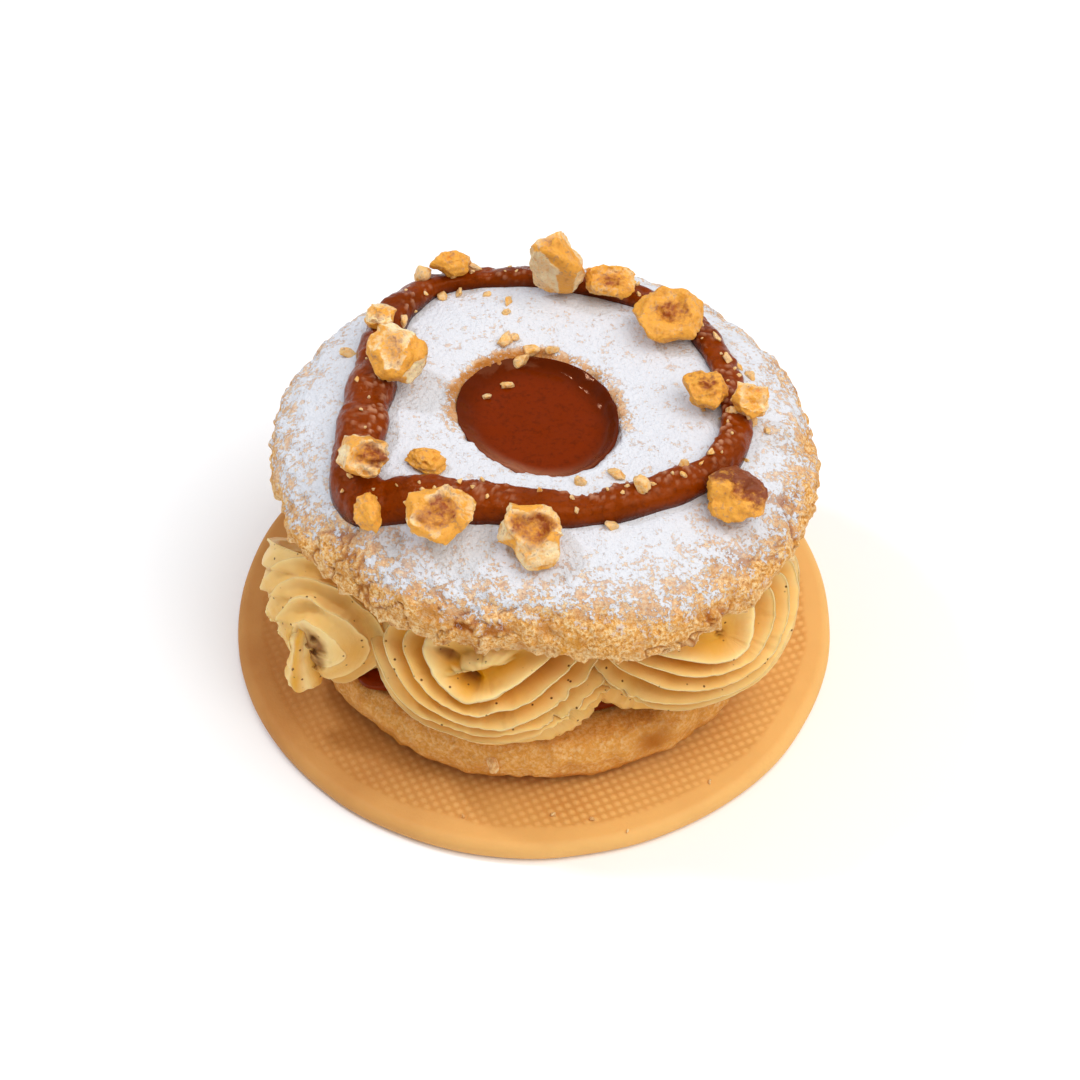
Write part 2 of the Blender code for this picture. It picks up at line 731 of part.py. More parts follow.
def make_nut(index, nut, parts, tree):
    """One broken hazelnut, dropped onto what lies under it and pressed in a little."""
    planes = break_planes(nut.seed)
    turn = Euler([math.radians(angle) for angle in nut.turns]).to_matrix()
    half = Vector(nut.half) * MM
    place = Vector((nut.x, nut.y, 0.0)) * MM
    bm = bmesh.new()
    bmesh.ops.create_icosphere(bm, subdivisions=NUT_DETAIL, radius=1.0)
    for vertex in bm.verts:
        shape = nut_shape(vertex.co.copy(), nut, planes)
        vertex.co = place + turn @ Vector(shape[i] * half[i] for i in range(3))
    grounds = [highest_near(tree, vertex.co.x, vertex.co.y, NUT_REACH) for vertex in bm.verts]
    drop = min(vertex.co.z - ground for vertex, ground in zip(bm.verts, grounds)) + NUT_PRESS
    for vertex, ground in zip(bm.verts, grounds):
        vertex.co.z = max(vertex.co.z - drop, ground + GAP)
    piece = object_from_bmesh(f"hazelnut_{index:02d}", bm, parts)
    finish(piece, "hazelnut", sharp_angle=40.0)


def main():
    clear_scene()
    parts = make_collection("paris_brest")
    make_biscuit(parts)
    make_lower_choux(parts)
    layer = make_praline_layer("praline_layer", 0.0, parts)
    finish(layer, "praline")
    make_cream(parts)
    upper = make_upper_choux(parts)
    make_pool(parts)
    loop = make_loop(parts, upper)
    tree = surface_tree([upper, loop])
    for index, nut in enumerate(NUTS, start=1):
        make_nut(index, nut, parts, tree)


main()
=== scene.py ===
import itertools
import math
import random
from functools import partial
from typing import NamedTuple

import bmesh
import bpy
import numpy as np
from bpy.props import FloatProperty, FloatVectorProperty, PointerProperty
from mathutils import Euler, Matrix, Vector, noise
from mathutils.bvhtree import BVHTree


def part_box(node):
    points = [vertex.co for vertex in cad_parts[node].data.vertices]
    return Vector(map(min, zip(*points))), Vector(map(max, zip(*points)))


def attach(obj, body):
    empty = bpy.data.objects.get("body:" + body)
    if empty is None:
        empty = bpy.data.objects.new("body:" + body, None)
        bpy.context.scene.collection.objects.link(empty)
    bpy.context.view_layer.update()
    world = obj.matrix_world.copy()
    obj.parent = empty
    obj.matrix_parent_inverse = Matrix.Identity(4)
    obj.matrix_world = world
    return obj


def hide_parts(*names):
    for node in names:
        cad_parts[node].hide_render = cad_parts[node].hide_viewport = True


bl_info = {
    "name": "Paris-Brest",
    "version": (1, 0, 0),
    "blender": (4, 5, 0),
    "location": "View3D > Sidebar > Pastry",
    "description": "Finishes a paris-brest pastry round its solid model",
    "category": "Object",
}

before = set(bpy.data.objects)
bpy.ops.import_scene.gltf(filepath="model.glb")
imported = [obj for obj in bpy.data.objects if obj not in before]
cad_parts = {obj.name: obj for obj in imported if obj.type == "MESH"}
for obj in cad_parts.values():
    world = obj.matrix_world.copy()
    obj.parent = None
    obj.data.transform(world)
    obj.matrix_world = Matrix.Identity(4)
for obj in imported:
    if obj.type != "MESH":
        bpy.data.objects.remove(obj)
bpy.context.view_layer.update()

MM = 0.001
# Columns round each piece, which set how fine its relief can be.
COLUMNS = {"biscuit": 760, "lower": 620, "layer": 300, "rosette": 340, "core": 300, "tail": 48,
           "upper": 680, "pool": 240, "loop": 56}

# The solid model's own dimensions, which the finished pieces keep.
BISCUIT_LOW, BISCUIT_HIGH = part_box("sable_base")
BISCUIT_R = 0.5 * (BISCUIT_HIGH.x - BISCUIT_LOW.x)
BISCUIT_T = BISCUIT_HIGH.z
BISCUIT_TOP_EDGE = 1.4 * MM
BISCUIT_LOW_EDGE = 1.1 * MM
# How far its top sags and its rim wavers, and from where the rim does.
BISCUIT_SAG = 0.08 * MM
BISCUIT_WAVE = 0.16 * MM
BISCUIT_WAVE_R = 38.0 * MM
# The woven mat's turn, where the rings of points get close enough to show its print, how far
# apart they are then, and how wide the band is in which the print fades at its margin.
PRINT_TURN = math.radians(24.0)
PRINT_IN_R = 28.0 * MM
PRINT_RING = 0.3 * MM
PRINT_FADE = 0.9 * MM
# How large the biscuit's browner blotches are, and where its browner side starts and is full. That side
# darkens from the lit right and front towards the left, partly as browner baking and partly as painted
# shade from the pastry.
BLOTCH = 9.0 * MM
LIT_PALE_SIDE = 16.0 * MM
SHADED_BROWN_SIDE = -30.0 * MM

LOWER_AXIS = (0.6 * MM, 0.8 * MM)
CREAM_AXIS = (1.0 * MM, 0.0)
UPPER_AXIS = (1.0 * MM, -0.8 * MM)

LOWER_Z, LOWER_TOP_Z = (corner.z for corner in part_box("choux_bottom"))
LOWER_FOOT_R = 30.0 * MM
LOWER_R = 33.4 * MM
LOWER_MAX_R = 34.2 * MM
LOWER_SHOULDER = 2.4 * MM
LOWER_BELLY = 0.62
LOWER_CRAG = 0.5 * MM
# The angle and the spread, in degrees, of the spot that praline has soaked.
LOWER_STAIN = (-62.0, 5.0)

LAYER_LOW, LAYER_HIGH = (corner.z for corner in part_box("praline_layer"))
LAYER_R = 28.5 * MM
OOZE_ANGLE = -137.0
OOZE_SPREAD = 9.0
OOZE_OUT = 4.4 * MM

UPPER_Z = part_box("choux_top")[0].z
UPPER_RIM_Z = 35.0 * MM
UPPER_R = 36.9 * MM
UPPER_SHOULDER = 2.6 * MM
UNDERSIDE_EDGE = 4.0 * MM
CROWN_Z = 43.4 * MM
CROWN_R = 19.0 * MM
LIP_DROP = 0.6 * MM
LIP_R = 1.9 * MM
UPPER_CRAG = 0.6 * MM
CRAG_SIZE = 4.2 * MM
SUGARED_CRAG = 0.12
# How deep the relief of the crust's layers is: lumps, grains, sand and the finest grit.
LUMP_RISE = 0.14 * MM
GRAIN_RISE = 0.5 * MM
SAND_RISE = 0.18 * MM
GRIT_RISE = 0.14 * MM
# How wide praline has soaked in round the hole, and where the sugar dough has melted at the
# front of the rim.
SOAKED_WIDTH = 3.4 * MM
MELTED_AT = (4.6 * MM, -36.0 * MM)
# Where the rim pulls in or swells: angle in degrees, spread in degrees, distance outwards.
RIM_DENTS = (
    (-104.0, 24.0, -3.4 * MM), (-140.0, 16.0, -2.0 * MM), (-88.0, 8.0, -1.2 * MM),
    (-64.0, 10.0, 0.5 * MM), (-20.0, 14.0, 0.4 * MM), (194.0, 14.0, -1.0 * MM), (88.0, 34.0, -1.4 * MM),
)
# Where sugar has thinned to half, as a share of the way from the crown to the rim, over how
# much of that way it fades, and where it ends sooner: angle and spread in degrees, share.
SUGAR_LINE = 0.98
SUGAR_FADE = 0.52
SUGAR_DIPS = (
    (-88.0, 40.0, -0.3), (-14.0, 36.0, -0.16), (-142.0, 20.0, -0.16),
)
HOLE_R = 10.4 * MM
HOLE_OVAL = 0.9 * MM
HOLE_LONG_ANGLE = math.radians(128.0)
HOLE_OFFSET = 1.1 * MM
HOLE_OFFSET_ANGLE = math.radians(112.0)
HOLE_BLEND_R = 17.0 * MM
POOL_Z = 41.5 * MM
POOL_MENISCUS = 1.0 * MM
POOL_R = HOLE_R + 0.5 * MM
POOL_FOOT_R = HOLE_R - 0.3 * MM
POOL_BOTTOM_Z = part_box("praline_pool")[0].z
# The angle at which light shows through the pool's edge, in degrees.
POOL_LIT_AT = -105.0

ROSETTE_R = 16.8 * MM
ROSETTE_HALF_H = 14.8 * MM
ROSETTE_BACK_ROWS = 8
# How wide a ridge has to be for its full height, its full lip and the full painted shade in its groove.
FULL_RIDGE = 3.4 * MM
FULL_LIP = 3.2 * MM
FULL_GROOVE_SHADE = 2.4 * MM
RIDGE_EDGE = 0.9 * MM
CREAM_LOW_Z = 8.4 * MM
CORE_R = 26.0 * MM
CORE_HOLLOW_R = 12.0 * MM
CORE_WALL_R = 11.6 * MM
CORE_TOP_Z = UPPER_Z - 0.2 * MM
TORN_DEPTH = 3.4 * MM
FACE_DENT = 4.0 * MM
STEP_RISE = 0.9 * MM
STEP_SPACING = 3.4 * MM


class Arm(NamedTuple):
    """A side of a rosette's ridges: the way it faces at the innermost and at the outermost
    ridge, in degrees, and how far each ridge lies from the eye, in millimetres."""
    inner: float
    outer: float
    reach: tuple


class Tongue(NamedTuple):
    """A curl of cream inside the innermost ridge, or a pit beside it: its middle and half
    sizes on the rosette's face in millimetres, its turn in degrees, and how far it rises in
    millimetres."""
    x: float
    y: float
    along: float
    across: float
    turn: float
    rise: float


class Rosette(NamedTuple):
    """A piped rosette: its place, its size, the way that it faces, where on that face its
    eye lies in millimetres, the sides of its ridges, the curls in its eye, the direction and
    width in which its ridges show, the direction and the distance from the eye at which
    their edges are torn, how much shade is painted into its grooves all round and how much
    more at the lower left, and its seed. Angles are in degrees."""
    at: float
    out: float
    height: float
    size: float
    face_at: float
    face_lift: float
    eye: tuple
    arms: tuple
    tongues: tuple
    ridged: tuple
    torn: tuple
    groove_shading: tuple
    seed: int


FRONT_ARMS = (
    Arm(216.0, 238.0, (4.2, 6.3, 8.2, 10.2, 13.0)),
    Arm(268.0, 274.0, (3.8, 6.2, 9.4, 12.2, 14.2)),
    Arm(303.0, 297.0, (2.9, 5.9, 9.3, 12.6, 14.6)),
    Arm(95.0, 92.0, (7.5, 9.5, 11.5, 13.5, 15.5)),
)
RIGHT_ARMS = (
    Arm(262.0, 259.0, (3.2, 5.4, 8.8, 12.0, 14.0)),
    Arm(300.0, 297.0, (2.4, 5.1, 7.6, 9.8, 12.0)),
    Arm(352.0, 338.0, (2.2, 5.0, 7.6, 10.0, 12.4)),
    Arm(92.0, 90.0, (6.0, 9.0, 11.0, 13.0, 15.0)),
)
LEFT_ARMS = (
    Arm(104.0, 100.0, (5.6, 9.4, 13.4, 17.0)),
    Arm(30.0, 28.0, (3.8, 6.6, 10.0, 14.0)),
    Arm(166.0, 160.0, (3.2, 6.4, 9.6, 12.5)),
    Arm(275.0, 275.0, (3.0, 6.0, 9.0, 12.0)),
)
BACK_ARMS = (
    Arm(200.0, 236.0, (2.4, 4.6, 7.0, 9.8, 12.4, 15.2, 18.2)),
    Arm(275.0, 268.0, (2.6, 5.0, 7.6, 10.2, 12.9, 15.6, 18.4)),
    Arm(330.0, 300.0, (2.2, 4.8, 7.6, 10.6, 13.4, 16.2, 19.0)),
    Arm(90.0, 90.0, (3.0, 6.0, 9.0, 12.0, 14.5, 17.0, 19.5)),
)
FRONT_TONGUES = (
    Tongue(0.4, 1.9, 4.6, 1.3, 14.0, 2.8),
    Tongue(-1.6, -1.0, 2.4, 1.3, -30.0, -1.3),
    Tongue(-4.6, 3.0, 2.6, 1.2, -50.0, -1.3),
    Tongue(1.6, -5.7, 1.9, 0.5, 8.0, -1.0),
)
RIGHT_TONGUES = (
    Tongue(-0.7, 0.3, 1.5, 1.0, -60.0, -1.3),
    Tongue(-4.6, -3.3, 2.6, 0.6, -4.0, -1.0),
)
BACK_TONGUES = (
    Tongue(0.3, 0.4, 2.0, 0.9, 30.0, 2.6),
)
ALL_ROUND = (0.0, 999.0)
CAMERA_FACE = (270.0, 47.0)
ROSETTES = (
    Rosette(254.5, 20.4 * MM, 22.2 * MM, 0.99, *CAMERA_FACE, (-2.6, -5.6), FRONT_ARMS, FRONT_TONGUES,
            ALL_ROUND, (-20.0, 8.0), (0.8, 0.4), 1),
    Rosette(320.0, 21.4 * MM, 24.0 * MM, 1.06, *CAMERA_FACE, (8.4, -6.4), RIGHT_ARMS, RIGHT_TONGUES,
            ALL_ROUND, (213.0, 13.0), (0.74, 0.2), 2),
    Rosette(20.0, 20.8 * MM, 22.8 * MM, 1.00, 14.0, 30.0, (1.5, -2.0), BACK_ARMS, BACK_TONGUES,
            ALL_ROUND, (-30.0, 9.0), (0.75, 0.2), 3),
    Rosette(76.0, 20.8 * MM, 22.4 * MM, 1.00, 80.0, 26.0, (-2.0, -1.5), BACK_ARMS, BACK_TONGUES,
            ALL_ROUND, (200.0, 9.0), (0.75, 0.2), 4),
    Rosette(136.0, 20.8 * MM, 23.0 * MM, 1.02, 133.0, 30.0, (2.0, -2.5), BACK_ARMS, BACK_TONGUES,
            ALL_ROUND, (-40.0, 9.0), (0.75, 0.2), 5),
    Rosette(203.0, 21.5 * MM, 21.2 * MM, 1.05, *CAMERA_FACE, (-11.2, -10.4), LEFT_ARMS, (),
            (72.0, 44.0), (165.0, 4.0), (0.45, 0.1), 6),
)
# How sharply the sides of a ridge meet: 2 is an oval, and large values give corners.
RIDGE_CORNER = 2.4
# A ridge's section: how far it is from one ridge to the next, how far it leans outwards as
# a share of the lip, and how deep it lies as a share of the ridge.
RIDGE_SECTION = (
    (0.06, 0.80, 0.84), (0.15, 0.75, 1.00), (0.33, 0.50, 0.98), (0.51, 0.25, 0.90), (0.67, 0.10, 0.75),
    (0.80, 0.02, 0.54), (0.89, 0.04, 0.31), (0.95, 0.14, 0.13), (0.99, 0.32, 0.03), (1.00, 0.58, 0.00),
    (1.00, 0.85, 0.02), (1.00, 1.05, 0.10), (1.00, 1.02, 0.26), (1.00, 0.80, 0.54),
)
TAIL_POINTS = (
    (-31.2, -18.8, 23.4), (-32.2, -19.6, 20.0), (-32.7, -20.0, 16.2), (-32.5, -20.2, 12.8),
    (-32.2, -20.2, 10.8),
)
TAIL_WIDTHS = (1.7, 1.4, 1.6, 2.4, 2.4)
TAIL_ROWS = 44

# The piped praline loop: x, y and half width of its turns, in millimetres.
LOOP_TURNS = (
    (-23.8, -12.2, 3.2), (-22.8, -3.0, 3.3), (-21.4, 7.4, 3.0), (-19.6, 18.8, 2.6), (-14.0, 25.8, 2.3),
    (-4.7, 27.2, 2.1), (4.4, 26.0, 2.0), (13.4, 23.0, 2.0), (20.6, 19.0, 2.0), (24.6, 11.6, 1.9),
    (26.9, 2.5, 2.0), (26.4, -5.8, 2.1), (22.0, -12.2, 2.3), (13.2, -16.8, 2.4), (4.4, -18.9, 2.5),
    (-5.6, -17.7, 2.7), (-14.6, -16.6, 3.0), (-20.8, -16.3, 2.9),
)
# Its height as a share of its half width, the steps from one turn to the next, and how often
# the ground under it is smoothed.
LOOP_HEIGHT = 1.1
LOOP_STEPS = 36
LOOP_SMOOTHING = 6


class Nut(NamedTuple):
    """A broken hazelnut: its half sizes in millimetres, its turns about x, y and z in
    degrees, how far up its broken face lies, how deep that is hollowed, the seed of its
    break, how toasted, pale and skinned it is from 0 to 1, and how many lobes stand out how
    far and in which direction, in degrees."""
    half: tuple
    turns: tuple
    face: float
    hollow: float
    seed: int
    toast: float
    pale: float
    skin: float
    lobes: tuple


ROUND = (0, 0.0, 0.0)
NUTS = (
    Nut((3.3, 2.2, 2.1), (10, 12, 20), 0.9, 0.0, 11, 0.1, 0.1, 0.0, (3, 0.12, 40.0)),
    Nut((4.1, 3.3, 5.7), (12, -8, -20), 1.1, 0.0, 12, 0.5, 0.7, 0.0, (3, 0.2, 100.0)),
    Nut((4.0, 2.6, 2.0), (38, 4, -6), 0.55, 0.05, 13, 0.6, 0.3, 0.0, ROUND),
    Nut((5.7, 4.2, 2.9), (30, 6, -14), 0.55, 0.18, 14, 0.7, 0.1, 0.0, ROUND),
    Nut((2.8, 3.7, 2.4), (22, -16, 30), 0.75, 0.0, 15, 1.3, 0.0, 0.25, ROUND),
    Nut((3.4, 2.9, 2.4), (14, 24, -40), 0.7, 0.0, 16, 0.0, 0.5, 0.0, (4, 0.14, 20.0)),
    Nut((4.5, 4.6, 3.8), (34, 14, 38), 0.75, 0.1, 17, 0.9, 0.0, 1.2, (3, 0.1, 30.0)),
    Nut((4.1, 5.0, 3.2), (28, -4, 12), 0.6, 0.4, 18, 1.0, 0.6, 0.0, (3, 0.3, 30.0)),
    Nut((5.0, 4.3, 3.2), (34, 6, -4), 0.6, 0.42, 19, 0.8, 0.5, 0.1, (5, 0.09, 70.0)),
    Nut((2.0, 2.9, 2.1), (30, 8, 16), 0.8, 0.0, 20, 0.0, 0.1, 0.0, ROUND),
    Nut((3.6, 3.6, 5.3), (48, 10, 8), 0.6, 0.2, 21, 0.8, 0.7, 0.3, (4, 0.13, 10.0)),
    Nut((3.1, 2.1, 1.9), (20, 0, -12), 0.9, 0.0, 22, 0.0, 0.1, 0.0, ROUND),
    Nut((4.4, 4.6, 3.1), (30, -8, -10), 0.6, 0.1, 23, 0.35, 0.8, 0.0, (3, 0.1, 90.0)),
    Nut((2.5, 2.4, 2.3), (20, -6, 36), 0.7, 0.1, 24, 0.3, 0.6, 0.2, (4, 0.15, 0.0)),
)
# How often the ball that a nut or a bit is broken from is divided, and how many breaks it has.
NUT_DETAIL = 5
BIT_DETAIL = 3
NUT_FACETS = 6
# How far a nut is pressed into what carries it, how far it is let down at most, and how
# uneven its form is before it breaks.
NUT_PRESS = 0.3 * MM
NUT_DROP = 1.8 * MM
NUT_RAGGED = 0.26

# Nut bits that lie where they are seen: x, y and length in millimetres.
BITS = (
    (-25.4, 12.6, 2.6), (-15.5, 26.4, 3.6), (-11.2, 26.6, 3.0), (-8.6, 28.0, 3.0), (-12.8, 23.2, 2.2),
    (-10.4, 23.9, 2.4), (-6.6, 23.2, 1.4), (-17.8, 16.2, 2.6), (-3.6, 21.2, 1.8), (-3.9, 19.0, 1.6),
    (-3.9, 13.6, 3.4), (-2.8, 14.4, 2.6), (-0.5, 12.2, 2.8), (2.6, 12.2, 2.6), (-1.8, 10.8, 2.6),
    (-3.6, 6.6, 2.4), (-6.3, 4.6, 1.7), (6.0, -12.8, 2.4), (10.9, -11.6, 3.2), (14.1, -16.4, 3.8),
    (10.1, -21.0, 2.6), (22.6, 0.4, 1.4), (24.8, 12.8, 2.0), (27.5, 9.6, 2.0), (26.2, 8.4, 2.2),
    (29.4, 8.2, 1.9), (29.2, -1.2, 2.2), (26.4, -1.6, 2.2), (19.6, -12.2, 2.0), (31.2, -2.0, 1.9),
)
# Loose crumbs of choux: x, y, the height that they lie at if not on the biscuit, and length,
# in millimetres.
CRUMBS = (
    (-5.4, -32.6, 8.4, 3.0), (2.6, -36.6, 0.0, 1.1), (7.8, -37.4, 0.0, 0.9), (12.6, -39.4, 0.0, 0.8),
    (-9.5, -37.0, 0.0, 0.8), (24.0, -31.0, 0.0, 0.8), (-38.0, 8.0, 0.0, 0.9), (10.0, 38.0, 0.0, 1.0),
    (37.4, 6.0, 0.0, 0.9),
)

# The camera, from the picture's outline of the biscuit: 1080 pixels across.
PICTURE_PX = 1080.0
FOCAL_PX = 3236.6
SENSOR_MM = 36.0
CAMERA_TILT = math.radians(47.45)
CAMERA_FAR = 0.45
CAMERA_AIM = Vector((0.0, 0.0, 0.02))
CAMERA_SHIFT = (0.00563, -0.00954)

# The lights: place and width in metres, and tint.
KEY_LIGHT = ((0.27, -0.14, 0.58), 0.55, "FFFDFA")
WINDOW_LIGHT = ((-0.3, 0.12, 0.5), 0.06, "E6F0FF")
FLOOR_SIZE = 20.0 * BISCUIT_R
FLOOR_DROP = 0.05 * MM

# Socket numbers of a colour mix node.
FACTOR, FIRST, SECOND, MIXED = 0, 6, 7, 2


def linear(hex_colour):
    """An sRGB hex colour as linear red, green, blue and alpha."""
    shares = [int(hex_colour[i:i + 2], 16) / 255.0 for i in (0, 2, 4)]
    return tuple(c / 12.92 if c <= 0.04045 else ((c + 0.055) / 1.055) ** 2.4 for c in shares) + (1.0,)


def colour(name, description, hex_colour):
    """A colour setting."""
    return FloatVectorProperty(name=name, description=description, subtype='COLOR', size=4,
                               min=0.0, max=1.0, default=linear(hex_colour))


def length(name, description, millimetres):
    """A length setting, kept in metres."""
    return FloatProperty(name=name, description=description, subtype='DISTANCE', unit='LENGTH',
                         min=0.0, precision=5, default=millimetres * MM)


class BiscuitSettings(bpy.types.PropertyGroup):
    print_pitch: length("Print pitch", "Distance between the dots of the mesh print", 1.25)
    print_depth: length("Print depth", "Depth of the mesh print", 0.16)
    print_margin: length("Smooth margin", "Width of the smooth band along the rim", 3.4)
    baked: colour("Baked dough", "Shortbread as it shows on the rim", "EEB86C")
    # The dot and hollow colours are partly the print's own colour and partly a painted highlight on the
    # raised dots and painted shade in the hollows between them.
    dot: colour("Print dots", "Paler tops of the printed dots", "F4C47C")
    hollow: colour("Print hollows", "Browner dough between the dots", "D89A50")
    # Partly browner baking and partly painted shade, laid over the biscuit's left where the pastry shades
    # it.
    browned: colour("Browned side", "Where the oven browned it more", "B27030")


class ChouxSettings(bpy.types.PropertyGroup):
    crumb: length("Crumb size", "Width of the large crumbs of the crust", 2.5)
    grain: length("Grain size", "Width of the small crumbs of the crust", 1.6)
    crease: length("Crease depth", "Depth of the cracks between the crumbs", 0.35)
    crust: colour("Crust", "Golden sugar crust", "E6A652")
    # The pale and brown colours are partly the crust's own tones and partly painted light and shade: pale
    # on the grains' tops, brown in the gaps, the cracks and the low spots.
    pale: colour("Pale grains", "Palest grains of the crust", "F6D49C")
    brown: colour("Brown crust", "Darker crust in the cracks", "A45A1A")
    amber: colour("Amber crust", "Patches where the crust has caramelised", "DA9226")
    sugar: colour("Icing sugar", "Dusted icing sugar", "E0E2E8")


class CreamSettings(bpy.types.PropertyGroup):
    ridge: length("Ridge depth", "Height of the piped ridges", 5.2)
    lip: length("Ridge lip", "How far a ridge's edge leans outwards", 0.6)
    crest: colour("Crests", "Pale edges of the ridges", "FADC9A")
    # Painted shade and bounced light: this deeper yellow is laid into the grooves, most where they lie
    # deep, and into the cream that lies in shade.
    groove_shade: colour("Grooves", "Deeper yellow between the ridges", "DE9A0C")
    # Painted shade: this browner colour darkens the torn pit and the sunk pits in the eyes, where shade
    # falls.
    torn: colour("Torn cream", "Browner cream where it is torn", "8C5020")
    speck: colour("Specks", "Ground nut skin in the cream", "6B4324")


class PralineSettings(bpy.types.PropertyGroup):
    grit: length("Grit size", "Width of the ground nut grains", 0.45)
    pool: colour("Praline pool", "Deep praline in the hole", "762400")
    ribbon: colour("Praline loop", "Thinner praline of the piped loop", "843200")
    # The speck colour also paints the shade on the pool's edge and on the loop's lower sides.
    dark: colour("Praline specks", "Ground nut skin in the praline", "4A1400")
    # The pale nut colour is also painted on the pool's thin edge, as the light that shows through it.
    crumb: colour("Nut grains", "Pale ground nut in the praline", "D09A78")


class HazelnutSettings(bpy.types.PropertyGroup):
    chip: length("Break roughness", "Depth of the chips along the broken faces", 0.38)
    golden: colour("Golden nut", "Roasted outer flesh", "ECA63E")
    pale: colour("Pale nut", "Freshly broken flesh", "FAE2B2")
    toasted: colour("Toasted nut", "Browned heart of the nut", "9C4C14")
    skin: colour("Nut skin", "Remains of the brown skin", "85411E")


class StageSettings(bpy.types.PropertyGroup):
    floor: colour("Floor", "Plain pale floor", "FFFFFF")
    key: FloatProperty(name="Key light", description="Power of the soft light above", unit='POWER',
                       min=0.0, default=2.9)
    window: FloatProperty(name="Window light", unit='POWER', min=0.0, default=0.95,
                          description="Power of the small cool light at the back left")
    sky: FloatProperty(name="Surroundings", description="Strength of the white surroundings",
                       min=0.0, default=0.53)


def hashed(cells, seed):
    """A repeatable number from 0 to 1 for each whole-numbered cell."""
    x, y, z = (cells[..., i].astype(np.int64).astype(np.uint32) for i in range(3))
    mixed = x * np.uint32(374761393) + y * np.uint32(668265263) + z * np.uint32(3266489917)
    mixed = mixed + np.uint32(seed * 40503 + 977)
    mixed = (mixed ^ (mixed >> np.uint32(15))) * np.uint32(2246822519)
    mixed = (mixed ^ (mixed >> np.uint32(13))) * np.uint32(3266489917)
    return (mixed ^ (mixed >> np.uint32(16))).astype(np.float64) / 2.0 ** 32


def lumps(points, size, seed):
    """Smooth noise from -1 to 1 whose lumps are about one size across."""
    cell = np.floor(points / size)
    share = points / size - cell
    share = share * share * (3.0 - 2.0 * share)
    total = 0.0
    for corner in itertools.product((0, 1), repeat=3):
        weight = np.prod(np.where(np.array(corner) == 1, share, 1.0 - share), axis=-1)
        total = total + weight * hashed(cell + corner, seed)
    return 2.0 * total - 1.0


def drift(points, size, seed):
    """Smooth noise from -1 to 1 in each of the three directions."""
    return np.stack([lumps(points, size, seed + i) for i in range(3)], axis=-1)


def crumbs(points, size, seed):
    """The distance to the nearest crumb, in sizes, and that crumb's own number."""
    scaled = points / size
    cell = np.floor(scaled)
    nearest = np.full(points.shape[:-1], 9.0)
    own = np.zeros_like(nearest)
    for corner in itertools.product((-1, 0, 1), repeat=3):
        there = cell + corner
        centre = there + np.stack([hashed(there, seed + i) for i in range(3)], axis=-1)
        distance = np.linalg.norm(scaled - centre, axis=-1)
        own = np.where(distance < nearest, hashed(there, seed + 3), own)
        nearest = np.minimum(nearest, distance)
    return nearest, own


def ease(value, low, high):
    """Rise smoothly from 0 at low to 1 at high, where low may also be the larger one."""
    share = np.clip((value - low) / (high - low), 0.0, 1.0)
    return share * share * (3.0 - 2.0 * share)


def crags(points):
    """The large crumbs of the solid model, from about -1 to 1."""
    shift = Vector((7.0, 3.0, 1.0))
    values = []
    for x, y, z in points.reshape(-1, 3).tolist():
        point = Vector((x, y, z)) / CRAG_SIZE
        values.append(1.2 * noise.noise(point) + 0.7 * noise.noise(point / 0.45 + shift))
    return np.array(values).reshape(points.shape[:-1])


def arc(centre, radii, start, end, count):
    """Points of an elliptical arc, with angles in degrees from outwards to up."""
    angles = np.radians(np.linspace(start, end, count))
    outwards = centre[0] + radii[0] * np.cos(angles)
    return np.stack([outwards, centre[1] + radii[1] * np.sin(angles)], axis=-1)


def line(start, end, count):
    """Points of a straight run without its first and last one."""
    return np.linspace(start, end, count + 2)[1:-1]


def all_round(columns):
    """Angles at equal steps all the way round."""
    return np.linspace(0.0, math.tau, columns, endpoint=False)


def turned(section, columns):
    """A grid of points from a section of (radius, height) points turned about Z."""
    height = np.repeat(section[:, 1:], columns, axis=1)
    return from_polar(section[:, :1], all_round(columns), height)


def on_turned_axes(x, y, angle):
    """A place on a plane, measured along axes that are turned by an angle."""
    return x * math.cos(angle) + y * math.sin(angle), y * math.cos(angle) - x * math.sin(angle)


def polar(points):
    """The distance from the Z axis and the angle round it."""
    return np.hypot(points[..., 0], points[..., 1]), np.arctan2(points[..., 1], points[..., 0])


def from_polar(radius, theta, height):
    """Points from their distance from the Z axis, their angle round it and their height."""
    return np.stack([radius * np.cos(theta), radius * np.sin(theta), height], axis=-1)


def swell(theta, centre_deg, spread_deg):
    """A smooth bump of height 1 round one angle."""
    away = np.degrees(np.angle(np.exp(1j * (theta - math.radians(centre_deg)))))
    return np.exp(-((away / spread_deg) ** 2))


def oval_hole(radius, theta):
    """Carry the hole's oval outline outwards until it fades into a circle."""
    fade = np.clip((HOLE_BLEND_R - radius) / (HOLE_BLEND_R - HOLE_R), 0.0, 1.0)
    oval = HOLE_OVAL * np.cos(2.0 * (theta - HOLE_LONG_ANGLE))
    oval = oval + HOLE_OFFSET * np.cos(theta - HOLE_OFFSET_ANGLE)
    return radius * (1.0 + fade * oval / HOLE_R)


def grid_normals(points, ring=False):
    """Outward directions of a grid whose rows run down and whose columns run round."""
    around = np.roll(points, -1, axis=1) - np.roll(points, 1, axis=1)
    if ring:
        down = np.roll(points, -1, axis=0) - np.roll(points, 1, axis=0)
    else:
        down = np.gradient(points, axis=0)
    normal = np.cross(down, around)
    return normal / np.maximum(np.linalg.norm(normal, axis=-1, keepdims=True), 1e-12)


